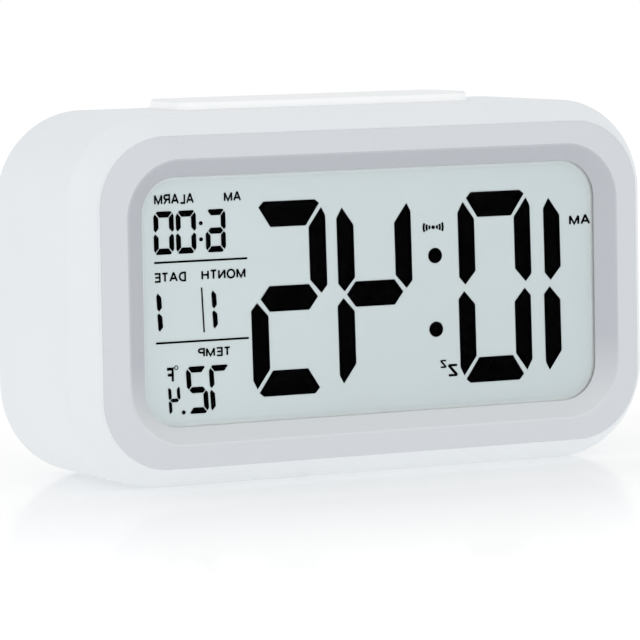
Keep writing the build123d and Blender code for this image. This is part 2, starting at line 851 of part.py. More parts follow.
# Snooze bar: a drafted cap, a skirt that runs in the case top, a flange that holds it in, and its posts
with BuildPart() as snooze_bar:
    skirt = floor_panel(bar_length, bar_depth, bar_corner_radius, bar_under_z, bar_y)
    extrude(skirt, amount=case_height - bar_under_z)
    cap = floor_panel(bar_length, bar_depth, bar_corner_radius, case_height, bar_y)
    extrude(cap, amount=bar_rise, taper=bar_draft)
    fillet(snooze_bar.faces().sort_by(Axis.Z)[-1].edges(), bar_edge_radius)
    bar_flange = floor_panel(
        bar_length + 2 * bar_flange_width,
        bar_depth + bar_flange_width,
        bar_corner_radius + bar_flange_width,
        bar_under_z,
        bar_y - bar_flange_width / 2,
    )
    extrude(bar_flange, amount=bar_flange_thickness)
    bar_hollow = floor_panel(
        bar_length - 2 * bar_skin, bar_depth - 2 * bar_skin, bar_corner_radius - bar_skin, bar_under_z, bar_y
    )
    extrude(bar_hollow, amount=bar_cavity_z - bar_under_z, mode=Mode.SUBTRACT)
    extrude(floor_discs(bar_rib_radius, snooze_tip_z, [(0, snooze_y)]), amount=bar_cavity_z - snooze_tip_z)
    shoulders = floor_discs(spring_shoulder_radius, bar_under_z, bar_spring_places)
    extrude(shoulders, amount=bar_cavity_z - bar_under_z)
    post_bottom_z = bracket_z - bracket_thickness / 2
    spring_posts = floor_discs(spring_post_radius, post_bottom_z, bar_spring_places)
    extrude(spring_posts, amount=bar_under_z - post_bottom_z)
save("snooze_bar", snooze_bar)

with BuildPart() as snooze_springs:
    with Locations(*[(x, y, bracket_z) for x, y in bar_spring_places]):
        add(coil(bar_spring_radius, bar_spring_radius, bar_spring_length, bar_spring_turns, bar_spring_wire))
save("snooze_springs", snooze_springs)

with BuildPart() as snooze_bracket:
    bracket_length = 2 * (bracket_boss_x + bracket_end)
    strap = floor_panel(bracket_length, bracket_depth, bracket_corner_radius, bracket_z, snooze_y)
    extrude(strap, amount=-bracket_thickness)
    rib_hole = floor_discs(bar_rib_radius + bar_gap, bracket_z, [(0, snooze_y)])
    extrude(rib_hole, amount=-bracket_thickness, mode=Mode.SUBTRACT)
    post_holes = floor_discs(spring_post_radius + spring_post_gap, bracket_z, bar_spring_places)
    extrude(post_holes, amount=-bracket_thickness, mode=Mode.SUBTRACT)
    bracket_holes = floor_discs(small_screw_radius + screw_hole_gap, bracket_z, bracket_boss_places)
    extrude(bracket_holes, amount=-bracket_thickness, mode=Mode.SUBTRACT)
save("snooze_bracket", snooze_bracket)

with BuildPart() as snooze_bracket_screws:
    bracket_under_z = bracket_z - bracket_thickness
    bracket_screw_planes = [
        Plane((x, y, bracket_under_z), x_dir=(1, 0, 0), z_dir=(0, 0, -1)) for x, y in bracket_boss_places
    ]
    with Locations(*bracket_screw_planes):
        add(small_screw)
save("snooze_bracket_screws", snooze_bracket_screws)

# Key board on the rear cover's bosses, with the snooze switch on its front and the key switches behind
with BuildPart() as key_board:
    extrude(block(key_board_width, key_board_height, key_board_y, 0.0, key_z), amount=-board_thickness)
    key_screw_holes = discs(small_screw_radius + screw_hole_gap, key_board_y, key_boss_places)
    extrude(key_screw_holes, amount=-board_thickness, mode=Mode.SUBTRACT)
save("key_board", key_board)

with BuildPart() as key_board_screws:
    with Locations(*[forward(x, key_board_y, z) for x, z in key_boss_places]):
        add(small_screw)
save("key_board_screws", key_board_screws)

with BuildPart() as snooze_switch:
    snooze_body_z = key_board_top_z - snooze_switch_height / 2
    snooze_body = block(tact_width, snooze_switch_height, key_board_y, 0.0, snooze_body_z)
    extrude(snooze_body, amount=snooze_switch_depth)
    socket_depth = plunger_seat + bar_travel + plunger_end_gap
    socket = floor_discs(plunger_radius + plunger_gap, key_board_top_z, [(0, snooze_y)])
    extrude(socket, amount=-socket_depth, mode=Mode.SUBTRACT)
save("snooze_switch", snooze_switch)
plunger("snooze_plunger", Plane((0, snooze_y, key_board_top_z)))

with BuildPart() as key_switches:
    for x in key_places.values():
        extrude(block(tact_width, tact_width, key_board_back_y, x, key_z), amount=-tact_height)
        socket_depth = plunger_seat + key_travel + plunger_end_gap
        key_socket = discs(plunger_radius + plunger_gap, tact_y, [(x, key_z)])
        extrude(key_socket, amount=socket_depth, mode=Mode.SUBTRACT)
save("key_switches", key_switches)

for key, x in key_places.items():
    with BuildPart() as key_cap:
        extrude(discs(key_radius, plunger_tip_y, [(x, key_z)]), amount=plunger_tip_y - cover_y - key_proud)
        fillet(key_cap.edges().sort_by(Axis.Y)[-1], key_edge_radius)
        extrude(discs(key_flange_radius, plunger_tip_y, [(x, key_z)]), amount=-key_flange_thickness)
    save(f"{key}_button", key_cap)
    plunger(f"{key}_plunger", rearward(x, tact_y, key_z))

# Alarm switch: its body on the key board, its lever, and the slider that a finger moves
slot_length = slider_width + slider_travel + 2 * slider_gap
slider_rest_x = switch_x - slider_travel / 2
slider_flange_y = plunger_tip_y
lever_tip_y = slider_flange_y + lever_engage
with BuildPart() as alarm_switch:
    extrude(block(switch_width, switch_depth, key_board_back_y, switch_x, key_z), amount=-tact_height)
    lever_slot_length = lever_width + slider_travel + 2 * slider_gap
    lever_slot = block(lever_slot_length, lever_height + 2 * lever_gap, tact_y, switch_x, key_z)
    extrude(lever_slot, amount=lever_root + lever_gap, mode=Mode.SUBTRACT)
save("alarm_switch", alarm_switch)

with BuildPart() as alarm_lever:
    lever_root_y = tact_y - lever_root
    lever_foot = block(lever_width, lever_height, lever_root_y, slider_rest_x, key_z)
    extrude(lever_foot, amount=lever_root_y - lever_tip_y)
save("alarm_lever", alarm_lever)

with BuildPart() as alarm_slider:
    flange_width = slot_length + 2 * slider_flange_margin
    flange_height = slider_height + 2 * slider_gap + 2 * slider_flange_margin
    slider_flange = block(flange_width, flange_height, slider_flange_y, slider_rest_x, key_z)
    extrude(slider_flange, amount=-key_flange_thickness)
    slider_grip = block(slider_width, slider_height, slider_flange_y, slider_rest_x, key_z)
    extrude(slider_grip, amount=slider_flange_y - cover_y - key_proud)
    for side in (-1, 0, 1):
        groove_x = slider_rest_x + side * slider_groove_pitch
        groove = block(slider_groove_width, slider_height, cover_y + key_proud, groove_x, key_z)
        extrude(groove, amount=slider_groove_depth, mode=Mode.SUBTRACT)
    fork_size = (lever_width + 2 * lever_gap, lever_height + 2 * lever_gap)
    fork = block(*fork_size, slider_flange_y, slider_rest_x, key_z)
    extrude(fork, amount=-(lever_engage + lever_gap), mode=Mode.SUBTRACT)
save("alarm_slider", alarm_slider)

# Rear cover with the battery tray, the key holes, the sound holes and the bosses
recess_width = door_width + 2 * door_gap
recess_height = door_height + 2 * door_gap
tab_sides = {"upper": -1, "lower": 1}
with BuildPart() as rear_cover:
    extrude(panel(cover_width, cover_height, cover_radius, cover_y), amount=cover_thickness)
    tray_box = block(tray_length + 2 * tray_wall, tray_height + 2 * tray_wall, cover_inner_y, 0.0, tray_z)
    extrude(tray_box, amount=cover_inner_y - tray_floor_y + tray_wall)
    door_recess = block(recess_width, recess_height, cover_y, 0.0, tray_z)
    extrude(door_recess, amount=cover_y - door_seat_y, mode=Mode.SUBTRACT)
    bay = block(tray_length, tray_height, door_seat_y, 0.0, tray_z)
    extrude(bay, amount=tray_depth, mode=Mode.SUBTRACT)
    with BuildSketch(across(0)):
        with Locations((hinge_y, hinge_z)):
            Circle(door_pin_radius + door_pin_gap)
    pin_hole_reach = door_width / 2 + door_pin_length + door_pin_end_gap
    extrude(amount=pin_hole_reach, both=True, mode=Mode.SUBTRACT)
    for row, side in tab_sides.items():
        with BuildSketch(across(side * tray_end_x)):
            with Locations((cell_y, cell_heights[row])):
                Rectangle(tab_thickness + 2 * tab_gap, tab_width + 2 * tab_gap)
        extrude(amount=side * tray_wall, mode=Mode.SUBTRACT)
    key_holes = discs(key_radius + key_gap, cover_y, [(x, key_z) for x in key_places.values()])
    extrude(key_holes, amount=cover_thickness, mode=Mode.SUBTRACT)
    slider_slot = block(slot_length, slider_height + 2 * slider_gap, cover_y, switch_x, key_z)
    extrude(slider_slot, amount=cover_thickness, mode=Mode.SUBTRACT)
    shank_holes = discs(case_screw_radius + screw_hole_gap, cover_y, post_places)
    extrude(shank_holes, amount=cover_thickness, mode=Mode.SUBTRACT)
    head_sinks = discs(case_head_radius + screw_hole_gap, cover_y, post_places)
    extrude(head_sinks, amount=case_head_sink, mode=Mode.SUBTRACT)
    key_bosses = discs(key_board_boss_radius, cover_inner_y, key_boss_places)
    extrude(key_bosses, amount=cover_inner_y - key_board_back_y)
    key_pilots = discs(small_screw_radius + pilot_gap, key_board_back_y, key_boss_places)
    extrude(key_pilots, amount=-(small_screw_length - board_thickness + pilot_extra), mode=Mode.SUBTRACT)
    buzzer_place = [(buzzer_x, buzzer_z)]
    buzzer_bore = buzzer_radius + buzzer_gap
    extrude(discs(buzzer_bore + buzzer_ring_wall, cover_inner_y, buzzer_place), amount=buzzer_ring_height)
    buzzer_rim = discs(buzzer_bore, buzzer_y, buzzer_place)
    extrude(buzzer_rim, amount=buzzer_ring_height - buzzer_seat_height, mode=Mode.SUBTRACT)
    buzzer_well = discs(buzzer_bore - buzzer_seat_width, cover_inner_y, buzzer_place)
    extrude(buzzer_well, amount=buzzer_seat_height, mode=Mode.SUBTRACT)
    with BuildSketch(facing(cover_y)):
        with Locations(*buzzer_place):
            Circle(sound_hole_radius)
            with PolarLocations(sound_hole_circle, sound_hole_count):
                Circle(sound_hole_radius)
    extrude(amount=cover_thickness, mode=Mode.SUBTRACT)
save("rear_cover", rear_cover)

case_screw = screw(
    case_screw_radius, case_screw_length, case_head_radius, case_head_height, case_cross_length
)
with BuildPart() as case_screws:
    head_seat_y = cover_y - case_head_sink
    with Locations(*[rearward(x, head_seat_y, z) for x, z in post_places]):
        add(case_screw)
save("case_screws", case_screws)

# Battery door: its lower edge is round about the hinge line, with a pin at each end and a tongue at the top
door_top_z = tray_z + door_height / 2
door_outer_y = door_seat_y + door_thickness
with BuildPart() as battery_door:
    with BuildSketch(across(0)):
        with Locations((hinge_y, hinge_z)):
            Circle(door_thickness / 2)
        with Locations((hinge_y, (hinge_z + door_top_z) / 2)):
            Rectangle(door_thickness, door_top_z - hinge_z)
    extrude(amount=door_width / 2, both=True)
    with BuildSketch(across(0)):
        with Locations((hinge_y, hinge_z)):
            Circle(door_pin_radius)
    extrude(amount=door_width / 2 + door_pin_length, both=True)
    for side in (-1, 1):
        tongue_slot = block(
            door_tongue_slot,
            door_tongue_length,
            door_outer_y,
            side * (door_tongue_width + door_tongue_slot) / 2,
            door_top_z - door_tongue_length / 2,
        )
        extrude(tongue_slot, amount=door_thickness, mode=Mode.SUBTRACT)
    for step in range(door_groove_count):
        groove_z = door_top_z - door_groove_pitch * (step + 1)
        groove_length = door_tongue_width - door_groove_pitch
        groove = block(groove_length, door_groove_width, door_outer_y, 0.0, groove_z)
        extrude(groove, amount=door_groove_depth, mode=Mode.SUBTRACT)
save("battery_door", battery_door)

# Cells, each with its raised end against a flat plate and its flat end on a spring
plus_x = tray_end_x - plate_thickness
for row, side in cell_sides.items():
    with BuildPart() as cell:
        with BuildSketch(across(side * plus_x)):
            with Locations((cell_y, cell_heights[row])):
                Circle(cell_nub_radius)
        extrude(amount=-side * cell_nub_length)
        with BuildSketch(across(side * (plus_x - cell_nub_length))):
            with Locations((cell_y, cell_heights[row])):
                Circle(cell_diameter / 2)
        extrude(amount=-side * (cell_length - cell_nub_length))
        rims = cell.edges().filter_by(GeomType.CIRCLE).filter_by(lambda edge: edge.radius > cell_nub_radius)
        fillet(rims, cell_edge_radius)
    save(f"cell_{row}", cell)

# Contact plates: one plate alone at each end of the row of cells, and two that bridge neighbours
bridge_height = cell_pitch + plate_width
with BuildPart() as contact_plates:
    for side, single, bridge in ((-1, "upper", ("middle", "lower")), (1, "lower", ("upper", "middle"))):
        bridge_z = (cell_heights[bridge[0]] + cell_heights[bridge[1]]) / 2
        for height, z in ((plate_width, cell_heights[single]), (bridge_height, bridge_z)):
            with BuildSketch(across(side * tray_end_x)):
                with Locations((cell_y, z)):
                    Rectangle(plate_width, height)
            extrude(amount=-side * plate_thickness)
        with BuildSketch(across(side * tray_end_x)):
            with Locations((cell_y, cell_heights[single])):
                Rectangle(tab_thickness, tab_width)
        extrude(amount=side * (tray_wall + tab_reach))
save("contact_plates", contact_plates)

with BuildPart() as cell_springs:
    cell_spring = coil(
        cell_spring_base_radius,
        cell_spring_tip_radius,
        cell_spring_length,
        cell_spring_turns,
        cell_spring_wire,
    )
    spring_planes = [
        Plane((-side * plus_x, cell_y, cell_heights[row]), x_dir=(0, 1, 0), z_dir=(side, 0, 0))
        for row, side in cell_sides.items()
    ]
    with Locations(*spring_planes):
        add(cell_spring)
save("cell_springs", cell_springs)

# Leads from the two end plates to the main board
with BuildPart() as battery_leads:
    for row, side in tab_sides.items():
        start_x = side * (tray_end_x + tray_wall + tab_reach)
        corner_x = start_x + side * lead_run
        z = cell_heights[row]
        route = [(start_x, cell_y, z), (corner_x, cell_y, z), (corner_x, board_back_y, z)]
        add(lead(route, lead_radius, lead_bend_radius))
save("battery_leads", battery_leads)

# Buzzer: a brass disc with a ceramic face, on the seat behind the sound holes
with BuildPart() as buzzer_disc:
    extrude(discs(buzzer_radius, buzzer_y, [(buzzer_x, buzzer_z)]), amount=buzzer_thickness)
save("buzzer_disc", buzzer_disc)

buzzer_front_y = buzzer_y - buzzer_thickness
with BuildPart() as buzzer_ceramic:
    extrude(discs(ceramic_radius, buzzer_front_y, [(buzzer_x, buzzer_z)]), amount=ceramic_thickness)
save("buzzer_ceramic", buzzer_ceramic)

rim_x = (buzzer_radius + ceramic_radius) / 2
with BuildPart() as buzzer_leads:
    for x, y in ((buzzer_x, buzzer_front_y - ceramic_thickness), (buzzer_x - rim_x, buzzer_front_y)):
        half_y = (y + board_back_y) / 2
        route = [
            (x, y, buzzer_z),
            (x, half_y + buzzer_lead_step, buzzer_z),
            (x, half_y - buzzer_lead_step, buzzer_z + buzzer_lead_step),
            (x, board_back_y, buzzer_z + buzzer_lead_step),
        ]
        add(lead(route, lead_radius, lead_bend_radius))
save("buzzer_leads", buzzer_leads)

# Ribbon from the key board to the main board
ribbon_z = key_board_bottom_z + ribbon_edge
ribbon_half_y = (key_board_y + board_back_y) / 2
with BuildPart() as ribbon_cable:
    with BuildLine() as ribbon_path:
        FilletPolyline(
            (ribbon_x, key_board_y, ribbon_z),
            (ribbon_x, ribbon_half_y + ribbon_drop, ribbon_z),
            (ribbon_x, ribbon_half_y - ribbon_drop, ribbon_z - ribbon_drop),
            (ribbon_x, board_back_y, ribbon_z - ribbon_drop),
            radius=ribbon_bend_radius,
        )
    with BuildSketch(facing(key_board_y)):
        with Locations((ribbon_x, ribbon_z)):
            Rectangle(ribbon_width, ribbon_thickness)
    sweep()
save("ribbon_cable", ribbon_cable)
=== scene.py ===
"""Looks of a digital alarm clock: finishes for the moulded case, the ring, the display and the works."""

import json
import logging
import math
from abc import ABC, abstractmethod
from collections.abc import Callable
from dataclasses import dataclass
from enum import Enum
from typing import Union

import bmesh
import bpy
from mathutils import Matrix, Vector


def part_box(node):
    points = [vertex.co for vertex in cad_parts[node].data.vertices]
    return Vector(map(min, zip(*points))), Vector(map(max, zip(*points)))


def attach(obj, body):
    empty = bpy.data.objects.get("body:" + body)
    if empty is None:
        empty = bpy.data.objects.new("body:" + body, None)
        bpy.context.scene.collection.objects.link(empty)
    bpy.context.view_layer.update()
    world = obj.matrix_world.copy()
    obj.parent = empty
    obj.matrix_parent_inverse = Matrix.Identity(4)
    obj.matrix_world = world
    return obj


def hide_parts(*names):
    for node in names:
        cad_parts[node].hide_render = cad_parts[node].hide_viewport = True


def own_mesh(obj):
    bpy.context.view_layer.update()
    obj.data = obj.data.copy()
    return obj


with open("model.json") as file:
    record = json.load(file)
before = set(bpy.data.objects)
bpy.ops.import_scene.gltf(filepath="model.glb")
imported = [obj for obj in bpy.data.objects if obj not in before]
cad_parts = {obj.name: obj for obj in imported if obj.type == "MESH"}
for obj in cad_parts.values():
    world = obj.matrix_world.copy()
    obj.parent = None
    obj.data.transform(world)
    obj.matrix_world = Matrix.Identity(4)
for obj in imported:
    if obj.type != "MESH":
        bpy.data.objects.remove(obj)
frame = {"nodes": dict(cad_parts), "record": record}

LOG = logging.getLogger("clock")
MM = 0.001
SAME_PLACE = 1e-6
ORIGIN = (0.0, 0.0, 0.0)
WHITE = (1, 1, 1, 1)
CLOCK_BODY = "clock"

# The display reads from right to left, as it is photographed; False turns it the readable way round
DISPLAY_REVERSED = True

Rgb = tuple[int, int, int]
Rgba = tuple[float, float, float, float]
Pair = tuple[float, float]
Triple = tuple[float, float, float]
Material = bpy.types.Material
Piece = bpy.types.Object
Shape = bmesh.types.BMesh
Node = bpy.types.Node
Socket = bpy.types.NodeSocket
Tree = bpy.types.NodeTree
Feed = Union[float, tuple, Vector, Socket]
Feeds = dict[Union[str, int], Feed]


class Slot(Enum):
    """Material slots of the record."""

    WHITE = "white_plastic"
    BAR = "bar_plastic"
    SILVER = "silver_plastic"
    KEY = "key_plastic"
    CLEAR = "clear_plastic"
    PANEL = "lcd_panel"
    DARK = "lcd_dark"
    GUIDE = "guide_plastic"
    REFLECTOR = "reflector_film"
    LED = "led_plastic"
    INNER = "inner_plastic"
    ZEBRA = "zebra_rubber"
    BOARD = "board_laminate"
    CHIP = "chip_resin"
    NICKEL = "nickel"
    THERMISTOR = "thermistor_resin"
    STEEL = "screw_steel"
    SWITCH = "switch_plastic"
    PLUNGER = "plunger_plastic"
    RIBBON = "ribbon_vinyl"
    LEAD = "lead_vinyl"
    BRASS = "buzzer_brass"
    CERAMIC = "buzzer_ceramic"
    SLEEVE = "cell_sleeve"


class Effect(Enum):
    """Surface effects that several finishes share as shader node groups."""

    GRAIN = "mould_grain"
    DRIFT = "tone_drift"
    SCRATCH = "fine_scratches"
    STRIPE = "stripes"


class Axis(Enum):
    """Direction along which a surface changes, as the number of its coordinate."""

    X = 0
    Z = 2


def linear(colour: Rgb) -> Rgba:
    """Turn an 8-bit display colour into linear colour.

    Args:
        colour: red, green and blue from 0 to 255.

    Returns:
        Linear red, green and blue with an alpha of 1.
    """
    channels = []
    for value in colour:
        share = value / 255
        channels.append(share / 12.92 if share <= 0.04045 else ((share + 0.055) / 1.055) ** 2.4)
    return (*channels, 1.0)


class Bench:
    """A node tree with short calls to add and wire its nodes."""

    def __init__(self, tree: Tree) -> None:
        """Keep the tree that the nodes go into."""
        self.tree = tree

    def add(self, kind: str, feeds: Feeds | None = None, **settings: object) -> Node:
        """Add a node and feed its inputs.

        Args:
            kind: Blender's type name of the node.
            feeds: a plain value or an output socket for each input, by name or number.
            settings: properties of the node itself.

        Returns:
            The new node.
        """
        node = self.tree.nodes.new(kind)
        for name, value in settings.items():
            setattr(node, name, value)
        for key, value in (feeds or {}).items():
            if isinstance(value, Socket):
                self.tree.links.new(value, node.inputs[key])
            else:
                node.inputs[key].default_value = value
        return node

    def math(self, operation: str, first: Feed, second: Feed = 0.0) -> Socket:
        """Work out one step of arithmetic, named as the Math node names it."""
        return self.add("ShaderNodeMath", {0: first, 1: second}, operation=operation).outputs[0]

    def spread(self, value: Feed, low: float, high: float, start: float = 0.0, end: float = 1.0) -> Socket:
        """Stretch a value's range, from start to end, onto the range from low to high."""
        feeds = {"Value": value, "From Min": start, "From Max": end, "To Min": low, "To Max": high}
        return self.add("ShaderNodeMapRange", feeds, clamp=True).outputs["Result"]

    def tint(self, factor: Feed, first: Union[Rgb, Socket], second: Union[Rgb, Socket]) -> Socket:
        """Go from one colour to another.

        Args:
            factor: 0 for the first colour, 1 for the second.
            first: colour at 0, or its socket.
            second: colour at 1, or its socket.

        Returns:
            The mixed colour's socket.
        """
        ends = [end if isinstance(end, Socket) else linear(end) for end in (first, second)]
        feeds = {0: factor, 6: ends[0], 7: ends[1]}
        return self.add("ShaderNodeMix", feeds, data_type="RGBA").outputs[2]


# How much finer a grain's small bumps are than its large ones, and what brings their sum back to 0 to 1
FINE_GRAIN = 2.3
GRAIN_GAIN = 0.6
# What of a noise is stretched to 0 to 1 as clouds, and how drawn lines are stretched along X
CLOUD_RANGE = (0.3, 0.7)
LINE_STRETCH = (0.06, 1.0, 1.0)


def grain_steps(bench: Bench, inlet: Node) -> Socket:
    """Shape the fine eroded texture of a mould: small rounded bumps of two sizes.

    Args:
        bench: bench of the group.
        inlet: its input node, with the size of the bumps in metres.

    Returns:
        Their height from 0 to 1.
    """
    scale = bench.math("DIVIDE", 1.0, inlet.outputs["Size"])
    feeds = {"Vector": inlet.outputs["Vector"], "Scale": scale, "Smoothness": 0.8}
    cells = bench.add("ShaderNodeTexVoronoi", feeds, feature="SMOOTH_F1")
    fine_scale = bench.math("MULTIPLY", scale, FINE_GRAIN)
    feeds = {"Vector": inlet.outputs["Vector"], "Scale": fine_scale, "Detail": 2.0, "Roughness": 0.55}
    fine = bench.add("ShaderNodeTexNoise", feeds)
    total = bench.math("ADD", cells.outputs["Distance"], fine.outputs[0])
    return bench.math("MULTIPLY", total, GRAIN_GAIN)


def drift_steps(bench: Bench, inlet: Node) -> Socket:
    """Shape a slow cloudy change of tone over a surface.

    Args:
        bench: bench of the group.
        inlet: its input node, with the span of the clouds in metres.

    Returns:
        A tone from 0 to 1.
    """
    scale = bench.math("DIVIDE", 1.0, inlet.outputs["Span"])
    feeds = {"Vector": inlet.outputs["Vector"], "Scale": scale, "Detail": 4.0, "Roughness": 0.6}
    clouds = bench.add("ShaderNodeTexNoise", feeds)
    return bench.spread(clouds.outputs[0], 0.0, 1.0, *CLOUD_RANGE)


def scratch_steps(bench: Bench, inlet: Node) -> Socket:
    """Shape the fine lines of drawn or rolled metal.

    Args:
        bench: bench of the group.
        inlet: its input node, with the pitch of the lines in metres.

    Returns:
        Their height from 0 to 1.
    """
    feeds = {0: inlet.outputs["Vector"], 1: LINE_STRETCH}
    stretched = bench.add("ShaderNodeVectorMath", feeds, operation="MULTIPLY").outputs[0]
    scale = bench.math("DIVIDE", 1.0, inlet.outputs["Pitch"])
    feeds = {"Vector": stretched, "Scale": scale, "Detail": 3.0, "Roughness": 0.7}
    return bench.add("ShaderNodeTexNoise", feeds).outputs[0]


def stripe_steps(bench: Bench, inlet: Node) -> Socket:
    """Mask sharp stripes along one coordinate, by their pitch in metres and the share of a stripe."""
    turns = bench.math("DIVIDE", inlet.outputs["Along"], inlet.outputs["Pitch"])
    return bench.math("LESS_THAN", bench.math("FRACT", turns), inlet.outputs["Share"])


@dataclass(frozen=True)
class Recipe:
    """How an effect's group is made: its number inputs, its result and its steps."""

    inputs: tuple[str, ...]
    result: str
    steps: Callable[[Bench, Node], Socket]


class EffectShelf:
    """Shader node groups of the shared effects, each built once."""

    recipes = {
        Effect.GRAIN: Recipe(("Size",), "Height", grain_steps),
        Effect.DRIFT: Recipe(("Span",), "Tone", drift_steps),
        Effect.SCRATCH: Recipe(("Pitch",), "Height", scratch_steps),
        Effect.STRIPE: Recipe(("Along", "Pitch", "Share"), "Mask", stripe_steps),
    }

    def __init__(self) -> None:
        """Start with an empty shelf."""
        self.trees: dict[Effect, Tree] = {}

    def tree(self, effect: Effect) -> Tree:
        """Give an effect's group, building it the first time.

        Args:
            effect: which effect.

        Returns:
            The group's node tree.
        """
        if effect not in self.trees:
            self.trees[effect] = self.build(effect.value, self.recipes[effect])
        return self.trees[effect]

    def build(self, name: str, recipe: Recipe) -> Tree:
        """Build a group with its sockets and its steps.

        Args:
            name: name of the group.
            recipe: how it is made.

        Returns:
            The group's node tree.
        """
        tree = bpy.data.node_groups.new(name, "ShaderNodeTree")
        tree.interface.new_socket(name="Vector", in_out="INPUT", socket_type="NodeSocketVector")
        for label in recipe.inputs:
            tree.interface.new_socket(name=label, in_out="INPUT", socket_type="NodeSocketFloat")
        tree.interface.new_socket(name=recipe.result, in_out="OUTPUT", socket_type="NodeSocketFloat")
        bench = Bench(tree)
        result = recipe.steps(bench, bench.add("NodeGroupInput"))
        bench.add("NodeGroupOutput", {recipe.result: result})
        return tree


EFFECTS = EffectShelf()


class Surface(Bench):
    """One material: its nodes, its coordinates and its shaders."""

    def __init__(self, name: str) -> None:
        """Start an empty material with the coordinates of its piece."""
        self.material = bpy.data.materials.new(name)
        self.material.use_nodes = True
        self.material.node_tree.nodes.clear()
        super().__init__(self.material.node_tree)
        self.place = self.add("ShaderNodeTexCoord").outputs["Object"]

    def effect(self, kind: Effect, **values: Feed) -> Socket:
        """Place a shared effect, with values or sockets for its inputs, and give its result."""
        feeds = {"Vector": self.place, **values}
        return self.add("ShaderNodeGroup", feeds, node_tree=EFFECTS.tree(kind)).outputs[0]

    def along(self, axis: Axis) -> Socket:
        """Give one coordinate of the surface's place."""
        return self.add("ShaderNodeSeparateXYZ", {0: self.place}).outputs[axis.value]

    def reach(self, middle: Triple, half: Triple) -> Socket:
        """Measure how far a place lies outside a box.

        Args:
            middle: middle of the box.
            half: half its size along each coordinate.

        Returns:
            The distance's socket, in metres, 0 inside the box.
        """
        place = self.place
        steps = (("SUBTRACT", middle), ("ABSOLUTE", ORIGIN), ("SUBTRACT", half), ("MAXIMUM", ORIGIN))
        for operation, amount in steps:
            place = self.add("ShaderNodeVectorMath", {0: place, 1: amount}, operation=operation).outputs[0]
        return self.add("ShaderNodeVectorMath", {0: place}, operation="LENGTH").outputs["Value"]

    def relief(self, height: Feed, depth: float, edge: float = 0.0) -> Socket:
        """Turn a height into a normal.

        Args:
            height: height from 0 to 1.
            depth: what a height of 1 stands for, in metres.
            edge: radius that moulded edges are softened by, in metres.

        Returns:
            The normal's socket.
        """
        feeds: Feeds = {"Height": height, "Distance": depth, "Strength": 1.0}
        if edge > 0:
            feeds["Normal"] = self.add("ShaderNodeBevel", {"Radius": edge}, samples=6).outputs[0]
        return self.add("ShaderNodeBump", feeds).outputs[0]

    def principled(self, feeds: Feeds) -> Socket:
        """Add the Principled shader with its inputs."""
        return self.add("ShaderNodeBsdfPrincipled", feeds).outputs[0]


@dataclass(frozen=True)
class Outline:
    """Upright rounded rectangle about the middle of the clock's front, in metres."""

    half_width: float
    half_height: float
    radius: float
    middle_z: float = 38.25 * MM

    def reach(self, surface: Surface) -> Socket:
        """Measure how far a place is from the line, less than 0 inside it.

        Args:
            surface: surface that the place is on.

        Returns:
            The distance's socket, in metres.
        """
        core = (self.half_width - self.radius, 1.0, self.half_height - self.radius)
        away = surface.reach((0.0, 0.0, self.middle_z), core)
        return surface.math("SUBTRACT", away, self.radius)


@dataclass(frozen=True)
class Finish(ABC):
    """A named finish; each kind shades its surface in its own way."""

    name: str

    @abstractmethod
    def shade(self, surface: Surface) -> Socket:
        """Shade the finish's surface.

        Args:
            surface: surface with no shader yet.

        Returns:
            Its shader.
        """

    def material(self) -> Material:
        """Make the finish's material.

        Returns:
            The material, with its shader on its output.
        """
        surface = Surface(self.name)
        surface.add("ShaderNodeOutputMaterial", {"Surface": self.shade(surface)})
        return surface.material


@dataclass(frozen=True)
class TwoTone(Finish):
    """Finish with a colour on a ground, a slow drift of its gloss and a fine relief.

    Unless a kind says otherwise, the colour lies in slow patches and the relief is a mould's grain.
    """

    colour: Rgb
    ground: Rgb
    roughness: Pair = (0.42, 0.5)
    grain_size: float = 0.35 * MM
    depth: float = 0.006 * MM
    drift_span: float = 25 * MM
    edge: float = 0.0

    def mask(self, surface: Surface, tone: Socket) -> Socket:
        """Say where the colour lies on the ground, from 0 to 1."""
        return tone

    def paint(self, surface: Surface, mask: Socket) -> Socket:
        """Give the colour of the surface."""
        return surface.tint(mask, self.ground, self.colour)

    def height(self, surface: Surface, mask: Socket) -> Socket:
        """Give the height of the relief, from 0 to 1."""
        return surface.effect(Effect.GRAIN, Size=self.grain_size)

    def inputs(self) -> Feeds:
        """Give further inputs of the shader."""
        return {}

    def shade(self, surface: Surface) -> Socket:
        """Shade the finish in its two colours."""
        tone = surface.effect(Effect.DRIFT, Span=self.drift_span)
        mask = self.mask(surface, tone)
        roughness = surface.spread(tone, *self.roughness)
        feeds = {"Base Color": self.paint(surface, mask), "Roughness": roughness, **self.inputs()}
        if self.depth > 0:
            feeds["Normal"] = surface.relief(self.height(surface, mask), self.depth, self.edge)
        return surface.principled(feeds)


@dataclass(frozen=True)
class TopShade:
    """Painted shade on a plastic part's top: a darker colour for the top face, standing in for its taking
    less light, and the heights between which it comes in.
    """

    colour: Rgb
    start: float
    end: float


@dataclass(frozen=True)
class MouldedPlastic(TwoTone):
    """Opaque moulded plastic with an eroded grain and a slight drift of tone."""

    coat: float = 0.0
    coat_roughness: float = 0.08
    specular: float = 0.5
    # Painted shade: an optional darker top, as if it took less light than the faces below
    top_shade: TopShade | None = None

    def inputs(self) -> Feeds:
        """Give the sheen and the coat."""
        coat = {"Coat Weight": self.coat, "Coat Roughness": self.coat_roughness}
        return {"Specular IOR Level": self.specular, **coat}

    def paint(self, surface: Surface, mask: Socket) -> Socket:
        """Give the plastic's colour, with the painted shade of its top over it."""
        colour = super().paint(surface, mask)
        # Painted shade: the top turns darker between the shade's two heights
        if self.top_shade:
            top = surface.spread(surface.along(Axis.Z), 0.0, 1.0, self.top_shade.start, self.top_shade.end)
            colour = surface.tint(top, colour, self.top_shade.colour)
        return colour


